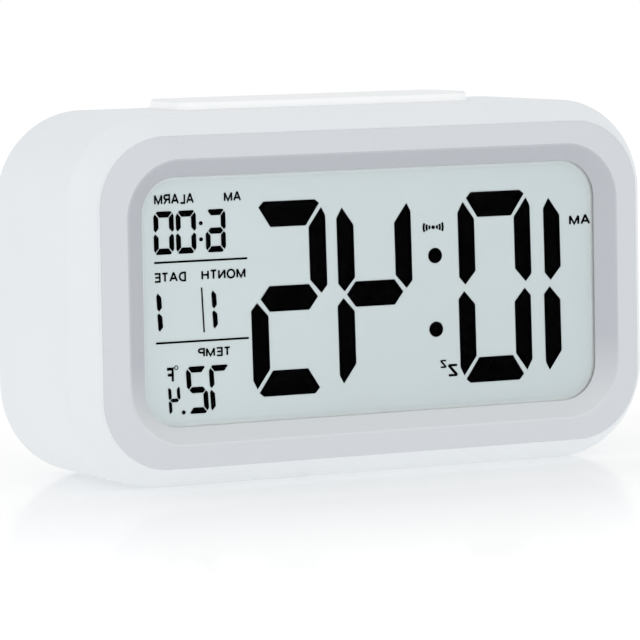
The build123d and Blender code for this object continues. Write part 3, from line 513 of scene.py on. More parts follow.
@dataclass(frozen=True)
class SilverPaint(TwoTone):
    """Satin silver-grey paint with fine flakes; inside the ring's crest it carries painted shade, a darker
    grey for the recessed bevel, and painted light that makes it paler low down.
    """

    # Painted shade: a darker grey for the bevel inside the crest, standing in for the shade of its recess
    shaded_inner: Rgb = (183, 187, 193)
    # Painted light: the bevel turns paler low down, where it faces up towards the light
    lit_low_inner: Rgb = (207, 211, 214)
    crest: Outline = Outline(57.3 * MM, 29.3 * MM, 12.2 * MM)
    pale_start: float = 12 * MM
    pale_end: float = 26 * MM
    flake_size: float = 0.12 * MM
    flake_share: float = 0.35
    grain_size: float = 0.3 * MM
    depth: float = 0.004 * MM
    drift_span: float = 18 * MM
    edge: float = 0.2 * MM

    def mask(self, surface: Surface, tone: Socket) -> Socket:
        """Say where the flakes are."""
        feeds = {"Vector": surface.place, "Scale": 1 / self.flake_size}
        flakes = surface.add("ShaderNodeTexVoronoi", feeds)
        glint = surface.add("ShaderNodeSeparateColor", {0: flakes.outputs["Color"]})
        return surface.math("LESS_THAN", glint.outputs[0], self.flake_share)

    def paint(self, surface: Surface, mask: Socket) -> Socket:
        """Give the paint's colour outside the crest, and the painted shade of the bevel inside it, paler low
        down by painted light.
        """
        # Painted light and shade inside the crest: a darker bevel that grows paler towards the bottom
        drop = surface.math("SUBTRACT", self.crest.middle_z, surface.along(Axis.Z))
        fade = surface.spread(drop, 0.0, 1.0, self.pale_start, self.pale_end)
        shaded_inner = surface.tint(fade, self.shaded_inner, self.lit_low_inner)
        inside = surface.math("LESS_THAN", self.crest.reach(surface), 0.0)
        return surface.tint(inside, super().paint(surface, mask), shaded_inner)


@dataclass(frozen=True)
class PrintInk(TwoTone):
    """Flat dark ink or liquid crystal, a little uneven in density."""

    roughness: Pair = (0.4, 0.5)
    depth: float = 0.0
    drift_span: float = 6 * MM

    def inputs(self) -> Feeds:
        """Take the sheen away."""
        return {"Specular IOR Level": 0.0}


@dataclass(frozen=True)
class BareMetal(TwoTone):
    """Plated or bare metal with fine drawing lines and dull patches."""

    roughness: Pair = (0.36, 0.22)
    depth: float = 0.002 * MM
    drift_span: float = 4 * MM
    line_pitch: float = 0.12 * MM

    def height(self, surface: Surface, mask: Socket) -> Socket:
        """Give the height of the drawing lines."""
        return surface.effect(Effect.SCRATCH, Pitch=self.line_pitch)

    def inputs(self) -> Feeds:
        """Make it metal."""
        return {"Metallic": 1.0}


@dataclass(frozen=True)
class CircuitBoard(TwoTone):
    """Green solder mask over copper tracks, which stand out a little."""

    roughness: Pair = (0.3, 0.42)
    depth: float = 0.03 * MM
    drift_span: float = 8 * MM
    track_pitch: float = 3.2 * MM

    def mask(self, surface: Surface, tone: Socket) -> Socket:
        """Say where the tracks are."""
        upright = {0: surface.place, 2: (math.radians(-90), 0.0, 0.0)}
        return surface.add("ShaderNodeTexBrick", {
            "Vector": surface.add("ShaderNodeMapping", upright).outputs[0],
            "Scale": 1 / self.track_pitch,
            "Mortar Size": 0.07,
            "Brick Width": 1.7,
            "Row Height": 0.42,
        }).outputs["Fac"]

    def height(self, surface: Surface, mask: Socket) -> Socket:
        """Give the height of the tracks."""
        return mask


@dataclass(frozen=True)
class StripedPart(TwoTone):
    """Soft part with regular stripes that follow each other along X."""

    roughness: Pair = (0.45, 0.6)
    grain_size: float = 0.2 * MM
    depth: float = 0.005 * MM
    drift_span: float = 5 * MM
    pitch: float = 1.0 * MM
    share: float = 0.3

    def mask(self, surface: Surface, tone: Socket) -> Socket:
        """Say where the stripes are."""
        along = surface.along(Axis.X)
        return surface.effect(Effect.STRIPE, Along=along, Pitch=self.pitch, Share=self.share)


@dataclass(frozen=True)
class DottedGuide(TwoTone):
    """Milky light guide with the printed dots that let its light out."""

    roughness: Pair = (0.12, 0.2)
    depth: float = 0.0
    drift_span: float = 20 * MM
    pitch: float = 1.5 * MM
    dot_share: float = 0.28

    def mask(self, surface: Surface, tone: Socket) -> Socket:
        """Say where the dots are."""
        feeds = {"Vector": surface.place, "Scale": 1 / self.pitch, "Randomness": 0.0}
        cells = surface.add("ShaderNodeTexVoronoi", feeds)
        return surface.math("LESS_THAN", cells.outputs["Distance"], self.dot_share)


@dataclass(frozen=True)
class ClearWindow(Finish):
    """Clear anti-glare window that lets the lamps through to the display."""

    colour: Rgb
    roughness: float = 0.02
    ior: float = 1.04
    ripple_span: float = 30 * MM
    ripple_depth: float = 0.01 * MM

    def shade(self, surface: Surface) -> Socket:
        """Shade the window."""
        ripple = surface.effect(Effect.DRIFT, Span=self.ripple_span)
        clear = surface.principled({
            "Base Color": linear(self.colour),
            "Transmission Weight": 1.0,
            "Roughness": self.roughness,
            "IOR": self.ior,
            "Normal": surface.relief(ripple, self.ripple_depth),
        })
        through = surface.add("ShaderNodeBsdfTransparent", {"Color": linear(self.colour)}).outputs[0]
        shadow = surface.add("ShaderNodeLightPath").outputs["Is Shadow Ray"]
        return surface.add("ShaderNodeMixShader", {0: shadow, 1: clear, 2: through}).outputs[0]


@dataclass(frozen=True)
class DisplayPanel(Finish):
    """Pale reflective display with the fine sparkle of its matt rear film, and painted light at its edge: a
    white border that lightens the shade under the window's lip.
    """

    colour: Rgb
    shadow: Rgb
    # Painted light: a white border round the viewed window that fills in the shade under the ring's lip
    lit_border: Rgb
    viewed: Outline = Outline(52.97 * MM, 25.57 * MM, 7.8 * MM)
    lit_border_start: float = -0.8 * MM
    lit_border_end: float = 0.5 * MM
    sparkle: float = 0.16 * MM
    sparkle_depth: float = 0.003 * MM
    sparkle_share: float = 0.5
    cloud_span: float = 40 * MM
    cloud_share: float = 0.5
    roughness: Pair = (0.35, 0.5)

    def shade(self, surface: Surface) -> Socket:
        """Shade the panel."""
        cloud = surface.effect(Effect.DRIFT, Span=self.cloud_span)
        film = surface.effect(Effect.GRAIN, Size=self.sparkle)
        clouds = surface.math("MULTIPLY", cloud, self.cloud_share)
        tone = surface.math("ADD", clouds, surface.math("MULTIPLY", film, self.sparkle_share))
        # Painted light: the panel turns white towards the window's edge, over the shade there
        edge = surface.spread(self.viewed.reach(surface), 0.0, 1.0, self.lit_border_start, self.lit_border_end)
        return surface.principled({
            "Base Color": surface.tint(edge, surface.tint(tone, self.shadow, self.colour), self.lit_border),
            "Roughness": surface.spread(film, *self.roughness),
            "Normal": surface.relief(film, self.sparkle_depth),
        })


@dataclass(frozen=True)
class LightTable(Finish):
    """Pale light table, white to the camera where no shadow lies on it, with a soft gloss near the clock.

    Tones and glows are those for other rays and for the camera. It is clear from below.
    """

    tones: Pair = (0.36, 0.97)
    glows: Pair = (0.7, 0.15)
    drift: Pair = (-0.01, 0.01)
    drift_span: float = 0.5
    gloss: float = 0.1
    gloss_tone: float = 0.88
    gloss_reach: float = 0.16
    gloss_ior: float = 1.3
    foot_half: Pair = (67.5 * MM, 22.5 * MM)

    def shade(self, surface: Surface) -> Socket:
        """Shade the table."""
        drift = surface.spread(surface.effect(Effect.DRIFT, Span=self.drift_span), *self.drift)
        seen = surface.add("ShaderNodeLightPath").outputs["Is Camera Ray"]
        tone = surface.math("ADD", surface.spread(seen, *self.tones), drift)
        matt = surface.add("ShaderNodeBsdfDiffuse", {"Color": tone}).outputs[0]
        strength = surface.spread(seen, *self.glows)
        glow = surface.add("ShaderNodeEmission", {"Strength": strength}).outputs[0]
        table = surface.add("ShaderNodeAddShader", {0: matt, 1: glow}).outputs[0]
        grey = (self.gloss_tone, self.gloss_tone, self.gloss_tone, 1.0)
        feeds = {"Color": grey, "Roughness": self.gloss}
        gloss = surface.add("ShaderNodeBsdfGlossy", feeds, distribution="MULTI_GGX").outputs[0]
        away = surface.reach(ORIGIN, (*self.foot_half, 0.0))
        near = surface.spread(away, 1.0, 0.0, 0.0, self.gloss_reach)
        share = surface.add("ShaderNodeFresnel", {"IOR": self.gloss_ior}).outputs[0]
        share = surface.math("MULTIPLY", surface.math("MULTIPLY", seen, near), share)
        upper = surface.add("ShaderNodeMixShader", {0: share, 1: table, 2: gloss}).outputs[0]
        below = surface.add("ShaderNodeNewGeometry").outputs["Backfacing"]
        clear = surface.add("ShaderNodeBsdfTransparent").outputs[0]
        return surface.add("ShaderNodeMixShader", {0: below, 1: upper, 2: clear}).outputs[0]


MATT = (0.5, 0.6)
GLOSS = (0.2, 0.28)
FLAT = 0.001 * MM


def slot_finishes() -> dict[Slot, Finish]:
    """Choose a finish for each of the record's slots.

    Returns:
        The finishes by slot.
    """
    soft = 0.25 * MM
    # Painted shade: the snooze bar's top face greyer than its front, as if lit less from above
    bar_top_shade = TopShade((236, 238, 239), 77.9 * MM, 78.25 * MM)
    return {
        Slot.WHITE: MouldedPlastic("case_white", (225, 229, 232), (222, 226, 229), edge=soft),
        Slot.BAR: MouldedPlastic(
            "bar_white", (253, 254, 254), (251, 252, 252), specular=0.15, edge=soft, top_shade=bar_top_shade
        ),
        Slot.SILVER: SilverPaint("ring_silver", (205, 209, 214), (202, 206, 211)),
        Slot.KEY: MouldedPlastic("key_grey", (214, 217, 220), (208, 211, 214), (0.38, 0.46), edge=0.2 * MM),
        Slot.CLEAR: ClearWindow("window_clear", (253, 254, 254)),
        Slot.PANEL: DisplayPanel("display_pale", (190, 199, 201), (186, 195, 197), (250, 252, 252)),
        Slot.DARK: PrintInk("display_dark", (4, 4, 5), (2, 2, 2)),
        Slot.GUIDE: DottedGuide("guide_milky", (250, 250, 250), (226, 232, 238)),
        Slot.REFLECTOR: MouldedPlastic(
            "reflector_white", (247, 247, 247), (241, 242, 243), GLOSS, depth=FLAT
        ),
        Slot.LED: MouldedPlastic("led_pale", (248, 244, 216), (236, 226, 170), GLOSS, drift_span=1.5 * MM),
        Slot.INNER: MouldedPlastic("inner_cream", (232, 232, 230), (224, 224, 220), MATT),
        Slot.ZEBRA: StripedPart("zebra_pink", (40, 36, 36), (224, 190, 186), pitch=0.5 * MM, share=0.4),
        Slot.BOARD: CircuitBoard("board_green", (58, 128, 74), (24, 92, 52)),
        Slot.CHIP: MouldedPlastic(
            "chip_black", (30, 30, 30), (22, 22, 22), GLOSS, grain_size=2 * MM, depth=0.2 * MM
        ),
        Slot.NICKEL: BareMetal("nickel", (219, 216, 208), (196, 192, 184)),
        Slot.THERMISTOR: MouldedPlastic("thermistor_black", (40, 40, 40), (30, 30, 30), GLOSS),
        Slot.STEEL: BareMetal("screw_steel", (196, 196, 198), (168, 168, 172), (0.42, 0.28)),
        Slot.SWITCH: MouldedPlastic("switch_black", (52, 52, 53), (44, 44, 45), MATT),
        Slot.PLUNGER: MouldedPlastic("plunger_dark", (70, 70, 72), (60, 60, 62), MATT),
        Slot.RIBBON: StripedPart("ribbon_grey", (150, 152, 156), (196, 197, 200)),
        Slot.LEAD: MouldedPlastic("lead_red", (176, 34, 30), (158, 28, 26), (0.35, 0.45)),
        Slot.BRASS: BareMetal("buzzer_brass", (222, 190, 118), (196, 160, 92)),
        Slot.CERAMIC: MouldedPlastic(
            "buzzer_ceramic", (232, 229, 220), (218, 214, 204), MATT, drift_span=3 * MM
        ),
        Slot.SLEEVE: MouldedPlastic(
            "sleeve_dark", (74, 80, 88), (64, 70, 78), GLOSS, depth=FLAT, coat=0.5
        ),
    }


def add_mesh(target: Shape, part: Shape) -> None:
    """Put one mesh into another and free it.

    Args:
        target: mesh that grows.
        part: mesh that goes into it.
    """
    carrier = bpy.data.meshes.new("carrier")
    part.to_mesh(carrier)
    part.free()
    target.from_mesh(carrier)
    bpy.data.meshes.remove(carrier)


class Wardrobe:
    """The finished materials by slot, made once."""

    def __init__(self) -> None:
        """Make the material of each slot."""
        self.materials = {slot: finish.material() for slot, finish in slot_finishes().items()}

    def dress_nodes(self) -> None:
        """Give every CAD node the material of its slot."""
        for subpart in frame["record"]["subparts"]:
            node = frame["nodes"][subpart["node"]]
            for holder in node.material_slots:
                holder.material = self.materials[Slot(subpart["material_slot"])]
            LOG.info("dressed %s in %s", subpart["node"], subpart["material_slot"])

    def place(self, name: str, shape: Shape, slot: Slot | None, *more: Material, replaced: str = "") -> Piece:
        """Make a mesh a piece that rides on the clock.

        Args:
            name: name of the piece.
            shape: its mesh, in the clock's frame.
            slot: slot of its first material, if it shares one.
            more: its own materials, after that of the slot in the order of its faces' numbers.
            replaced: CAD node that it stands in for.

        Returns:
            The new piece.
        """
        bmesh.ops.recalc_face_normals(shape, faces=shape.faces)
        mesh = bpy.data.meshes.new(name)
        shape.to_mesh(mesh)
        shape.free()
        shared = [self.materials[slot]] if slot else []
        for material in (*shared, *more):
            mesh.materials.append(material)
        piece = bpy.data.objects.new(name, mesh)
        bpy.context.scene.collection.objects.link(piece)
        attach(piece, CLOCK_BODY)
        if replaced:
            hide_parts(replaced)
        LOG.info("made %s with %d faces", name, len(mesh.polygons))
        return piece


@dataclass(frozen=True)
class Word:
    """A printed word and the edges of the rectangle that it fills, in millimetres on its own plane."""

    text: str
    left: float
    right: float
    low: float
    high: float


@dataclass(frozen=True)
class Glyph:
    """A letter as strokes' middle lines in a unit square, and its width as a share of its height."""

    width: float
    strokes: tuple[tuple[Pair, ...], ...]


LETTER_GAP = 0.13
SHARPEST_MITRE = 0.6
ROUND_SIDES = 20
ROUND_TURNS = [math.tau * i / ROUND_SIDES for i in range(ROUND_SIDES + 1)]
ROUND = tuple((0.5 + 0.5 * math.cos(turn), 0.5 + 0.5 * math.sin(turn)) for turn in ROUND_TURNS)
BOWL = ((0, 0), (0, 1), (0.58, 1), (0.86, 0.94), (1, 0.76), (0.86, 0.56), (0.58, 0.5), (0, 0.5))
GLYPHS = {
    "A": Glyph(1.0, (((0, 0), (0.47, 1), (0.53, 1), (1, 0)), ((0.2, 0.33), (0.8, 0.33)))),
    "D": Glyph(0.88, (((0, 0), (0, 1), (0.5, 1), (0.86, 0.84), (1, 0.5), (0.86, 0.16), (0.5, 0), (0, 0)),)),
    "E": Glyph(0.78, (((1, 1), (0, 1), (0, 0), (1, 0)), ((0, 0.52), (0.92, 0.52)))),
    "F": Glyph(0.72, (((0, 0), (0, 1), (1, 1)), ((0, 0.52), (0.86, 0.52)))),
    "H": Glyph(0.86, (((0, 0), (0, 1)), ((1, 0), (1, 1)), ((0, 0.52), (1, 0.52)))),
    "L": Glyph(0.7, (((0, 1), (0, 0), (1, 0)),)),
    "M": Glyph(1.06, (((0, 0), (0, 1)), ((0, 1), (0.5, 0.04), (1, 1)), ((1, 1), (1, 0)))),
    "N": Glyph(0.86, (((0, 0), (0, 1)), ((0, 1), (1, 0)), ((1, 0), (1, 1)))),
    "O": Glyph(1.02, (ROUND,)),
    "P": Glyph(0.82, (BOWL,)),
    "R": Glyph(0.88, (BOWL, ((0.5, 0.5), (1, 0)))),
    "S": Glyph(0.82, ((
        (0.94, 0.8), (0.8, 0.95), (0.5, 1), (0.2, 0.94), (0.06, 0.76), (0.2, 0.59), (0.5, 0.52),
        (0.82, 0.43), (0.96, 0.25), (0.82, 0.06), (0.5, 0), (0.18, 0.05), (0.03, 0.2),
    ),)),
    "T": Glyph(0.82, (((0, 1), (1, 1)), ((0.5, 1), (0.5, 0)))),
    "U": Glyph(0.86, (((0, 1), (0, 0.32), (0.13, 0.08), (0.5, 0), (0.87, 0.08), (1, 0.32), (1, 1)),)),
    "W": Glyph(1.3, (((0, 1), (0.25, 0), (0.5, 0.9), (0.75, 0), (1, 1)),)),
    "Z": Glyph(0.8, (((0, 1), (1, 1)), ((1, 1), (0, 0)), ((0, 0), (1, 0)))),
}


def draw_stroke(shape: Shape, line: list[Vector], width: float) -> None:
    """Draw a flat ribbon along a line, with mitred corners.

    Args:
        shape: mesh that the ribbon goes into.
        line: points of the ribbon's middle; the last one closes it if it is the first again.
        width: width of the ribbon.
    """
    closed = (line[0] - line[-1]).length < SAME_PLACE
    points = line[:-1] if closed else line
    count = len(points)
    rails = []
    for i, point in enumerate(points):
        before = points[i - 1] if closed or i > 0 else point
        after = points[(i + 1) % count] if closed or i + 1 < count else point
        into = (point - before).normalized() if point != before else (after - point).normalized()
        onward = (after - point).normalized() if after != point else into
        middle = (into + onward).normalized()
        reach = width / 2 / max(middle.dot(onward), SHARPEST_MITRE)
        across = Vector((-middle.y, middle.x, 0.0)) * reach
        rails.append((shape.verts.new(point + across), shape.verts.new(point - across)))
    pairs = list(zip(rails, rails[1:]))
    if closed:
        pairs.append((rails[-1], rails[0]))
    for first, second in pairs:
        shape.faces.new((first[0], first[1], second[1], second[0]))


def letter_word(word: Word, thickness: float, weight: float) -> Shape:
    """Shape a word as flat solid letters.

    Args:
        word: the word and its rectangle.
        thickness: thickness of the letters in metres.
        weight: width of the strokes as a share of the letters' height.

    Returns:
        Letters with X to the right, Y up and their underside at Z 0, in metres.
    """
    shape = bmesh.new()
    start = 0.0
    for letter in word.text:
        glyph = GLYPHS[letter]
        for stroke in glyph.strokes:
            line = [
                Vector((start + weight / 2 + x * (glyph.width - weight), weight / 2 + y * (1 - weight), 0.0))
                for x, y in stroke
            ]
            draw_stroke(shape, line, weight)
        start += glyph.width + LETTER_GAP
    solid = bmesh.ops.extrude_face_region(shape, geom=shape.faces[:])
    raised = [item for item in solid["geom"] if isinstance(item, bmesh.types.BMVert)]
    bmesh.ops.translate(shape, verts=raised, vec=(0.0, 0.0, 1.0))
    wide = (word.right - word.left) * MM / (start - LETTER_GAP)
    tall = (word.high - word.low) * MM
    bmesh.ops.scale(shape, verts=shape.verts, vec=(wide, tall, thickness))
    bmesh.ops.translate(shape, verts=shape.verts, vec=(word.left * MM, word.low * MM, 0.0))
    return shape


@dataclass
class Display:
    """Words and signs of the display, on the panel's face in the layer of its segments.

    Places are in millimetres from the middle of the panel, to the right and up on the readable display.
    """

    wardrobe: Wardrobe
    words: tuple[Word, ...] = (
        Word("ALARM", 40.8, 49.7, 19.94, 22.1),
        Word("AM", 30.1, 33.97, 20.0, 22.05),
        Word("DATE", 42.9, 50.05, 4.15, 6.15),
        Word("MONTH", 29.4, 39.4, 4.2, 6.25),
        Word("TEMP", 33.1, 40.55, -11.6, -9.7),
        Word("F", 46.1, 47.8, -16.45, -13.3),
        Word("AM", -52.6, -47.45, 11.65, 13.8),
        Word("Z", -20.05, -17.45, -18.95, -16.35),
        Word("Z", -17.3, -15.65, -17.05, -15.35),
    )
    weight: float = 0.19
    bell_x: float = -14.55
    bell_z: float = 12.67
    bell_radii: tuple[float, ...] = (0.9, 1.6, 2.28)
    bell_angle: float = 46.0
    bell_dot: float = 0.4
    bell_stroke: float = 0.44
    degree_x: float = 45.5
    degree_z: float = -13.4
    degree_radius: float = 0.38
    degree_stroke: float = 0.16
    arc_step: float = 8
    least_steps: int = 6
    dot_sides: int = 24

    def __post_init__(self) -> None:
        """Read the panel's face from the frame."""
        low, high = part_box("lcd_segments")
        panel_low, panel_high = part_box("lcd_glass")
        self.thickness = high.y - low.y
        self.face_y = high.y
        self.middle_z = (panel_low.z + panel_high.z) / 2

    def place(self, name: str, shape: Shape) -> None:
        """Move a flat shape from its own plane onto the panel's face and make it a dark piece.

        Args:
            name: name of the piece.
            shape: shape with X to the right, Y up and Z towards the reader.
        """
        side = -1.0 if DISPLAY_REVERSED else 1.0
        turn = Matrix(((side, 0, 0, 0), (0, 0, -1, self.face_y), (0, 1, 0, self.middle_z), (0, 0, 0, 1)))
        bmesh.ops.transform(shape, matrix=turn, verts=shape.verts)
        self.wardrobe.place(name, shape, Slot.DARK)

    def arc(self, radius: float, stroke: float, start: float, angle: float) -> Shape:
        """Sweep a flat stroke round the origin.

        Args:
            radius: radius of the stroke's middle in millimetres.
            stroke: its width in millimetres.
            start: where it starts, in degrees from the right.
            angle: how far it goes, in degrees.

        Returns:
            The stroke as a solid, in metres.
        """
        shape = bmesh.new()
        bmesh.ops.create_grid(shape, x_segments=1, y_segments=1, size=0.5)
        turn = Matrix.Rotation(math.radians(90), 4, "X")
        size = Matrix.Diagonal((stroke * MM, 1.0, self.thickness, 1.0))
        shift = Matrix.Translation((radius * MM, 0.0, self.thickness / 2))
        swing = Matrix.Rotation(math.radians(start), 4, "Z")
        bmesh.ops.transform(shape, matrix=swing @ shift @ size @ turn, verts=shape.verts)
        whole = angle >= 360
        steps = max(self.least_steps, round(angle / self.arc_step))
        section = shape.verts[:] + shape.edges[:]
        if not whole:
            section += shape.faces[:]
        else:
            bmesh.ops.delete(shape, geom=shape.faces[:], context="FACES_ONLY")
        sweep = {"axis": (0, 0, 1), "angle": math.radians(angle), "steps": steps, "use_merge": whole}
        bmesh.ops.spin(shape, geom=section, cent=ORIGIN, **sweep)
        bmesh.ops.holes_fill(shape, edges=shape.edges[:], sides=4)
        return shape

    def dot(self, radius: float) -> Shape:
        """Make a flat round dot at the origin.

        Args:
            radius: radius in millimetres.

        Returns:
            The dot as a solid, in metres.
        """
        shape = bmesh.new()
        radii = {"radius1": radius * MM, "radius2": radius * MM}
        bmesh.ops.create_cone(shape, cap_ends=True, segments=self.dot_sides, depth=self.thickness, **radii)
        bmesh.ops.translate(shape, verts=shape.verts, vec=(0, 0, self.thickness / 2))
        return shape

    def build_words(self) -> None:
        """Make all the words one piece."""
        shape = bmesh.new()
        for word in self.words:
            add_mesh(shape, letter_word(word, self.thickness, self.weight))
        self.place("display_words", shape)

    def build_signs(self) -> None:
        """Make the ringing sign and the degree ring one piece."""
        shape = bmesh.new()
        marks = [(self.dot(self.bell_dot), self.bell_x, self.bell_z)]
        for radius in self.bell_radii:
            for middle in (0, 180):
                stroke = self.arc(radius, self.bell_stroke, middle - self.bell_angle / 2, self.bell_angle)
                marks.append((stroke, self.bell_x, self.bell_z))
        marks.append((self.arc(self.degree_radius, self.degree_stroke, 0, 360), self.degree_x, self.degree_z))
        for mark, x, z in marks:
            bmesh.ops.translate(mark, verts=mark.verts, vec=(x * MM, z * MM, 0))
            add_mesh(shape, mark)
        self.place("display_signs", shape)


@dataclass
class RearPrint:
    """Plain function words printed on the rear cover beside its keys."""

    wardrobe: Wardrobe
    ink: PrintInk = PrintInk("label_grey", (128, 132, 136), (112, 116, 120), MATT)
    letter_height: float = 2.0
    letter_width: float = 1.75
    rise: float = 6.4
    thickness: float = 0.05 * MM
    weight: float = 0.16
    key_words: tuple[tuple[str, str], ...] = (
        ("set_button", "SET"), ("mode_button", "MODE"), ("up_button", "UP"), ("down_button", "DOWN"),
    )
    switch_reach: float = 8.2

    def words(self) -> list[tuple[str, float, float]]:
        """List the words with their middles on the cover.

        Returns:
            Text with its middle's X and Z in metres.
        """
        rows = []
        for node, text in (*self.key_words, ("alarm_switch", "ALARM")):
            low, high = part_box(node)
            x = (low.x + high.x) / 2
            z = (low.z + high.z) / 2
            rows.append((text, x, z + self.rise * MM))
        rows.append(("ON", x + self.switch_reach * MM, z))
        rows.append(("OFF", x - self.switch_reach * MM, z))
        return rows

    def build(self) -> None:
        """Print the words on the cover's outer face."""
        shape = bmesh.new()
        for text, x, z in self.words():
            half = len(text) * self.letter_width / 2
            word = Word(text, -half, half, -self.letter_height / 2, self.letter_height / 2)
            letters = letter_word(word, self.thickness, self.weight)
            bmesh.ops.translate(letters, verts=letters.verts, vec=(-x, z, 0))
            add_mesh(shape, letters)
        turn = Matrix(((-1, 0, 0, 0), (0, 0, 1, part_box("rear_cover")[1].y), (0, 1, 0, 0), (0, 0, 0, 1)))
        bmesh.ops.transform(shape, matrix=turn, verts=shape.verts)
        self.wardrobe.place("rear_labels", shape, None, self.ink.material())


@dataclass(frozen=True)
class CoilSize:
    """Sizes of a coil spring in metres."""

    base_radius: float
    tip_radius: float
    length: float
    wire: float
    turns: float
    closed_turns: float = 1.0
    closed_pitch: float = 1.04
    steps: int = 28
    wire_sides: int = 10


def wind_coil(size: CoilSize) -> Shape:
    """Wind a spring about +Z from 0 to its length, with closed turns at both ends.

    Args:
        size: sizes of the spring.

    Returns:
        The spring's mesh.
    """
    shape = bmesh.new()
    turn = Matrix.Rotation(math.radians(90), 4, "X")
    shift = Matrix.Translation((size.base_radius, 0, size.wire / 2))
    bmesh.ops.create_circle(shape, segments=size.wire_sides, radius=size.wire / 2, matrix=shift @ turn)
    closed_rise = size.wire * size.closed_pitch * size.closed_turns
    open_rise = size.length - size.wire - 2 * closed_rise
    section = shape.verts[:] + shape.edges[:]
    stretches = (
        (size.closed_turns, closed_rise),
        (size.turns - 2 * size.closed_turns, open_rise),
        (size.closed_turns, closed_rise),
    )
    for turns, rise in stretches:
        steps = round(turns * size.steps)
        sweep = {"axis": (0, 0, 1), "dvec": (0, 0, rise / steps), "angle": math.tau * turns, "steps": steps}
        section = bmesh.ops.spin(shape, geom=section, cent=ORIGIN, **sweep)["geom_last"]
    bmesh.ops.holes_fill(shape, edges=shape.edges[:], sides=size.wire_sides)
    for vert in shape.verts:
        share = min(max(vert.co.z / size.length, 0.0), 1.0)
        outward = Vector((vert.co.x, vert.co.y, 0)).normalized()
        vert.co += outward * (size.tip_radius - size.base_radius) * share
    return shape


@dataclass
class SnoozeSprings:
    """The two springs that lift the snooze bar."""

    wardrobe: Wardrobe
    wire: float = 0.5 * MM
    turns: float = 6.0
    travel: float = 1.0 * MM

    def build(self) -> None:
        """Wind both springs where the plain ones stand."""
        low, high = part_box("snooze_springs")
        outer = (high.y - low.y) / 2
        radius = outer - self.wire / 2
        length = high.z - low.z
        shape = bmesh.new()
        for x in (low.x + outer, high.x - outer):
            coil = wind_coil(CoilSize(radius, radius, length, self.wire, self.turns))
            bmesh.ops.translate(coil, verts=coil.verts, vec=(x, (low.y + high.y) / 2, low.z))
            add_mesh(shape, coil)
        piece = self.wardrobe.place("snooze_coils", shape, Slot.NICKEL, replaced="snooze_springs")
        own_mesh(piece)


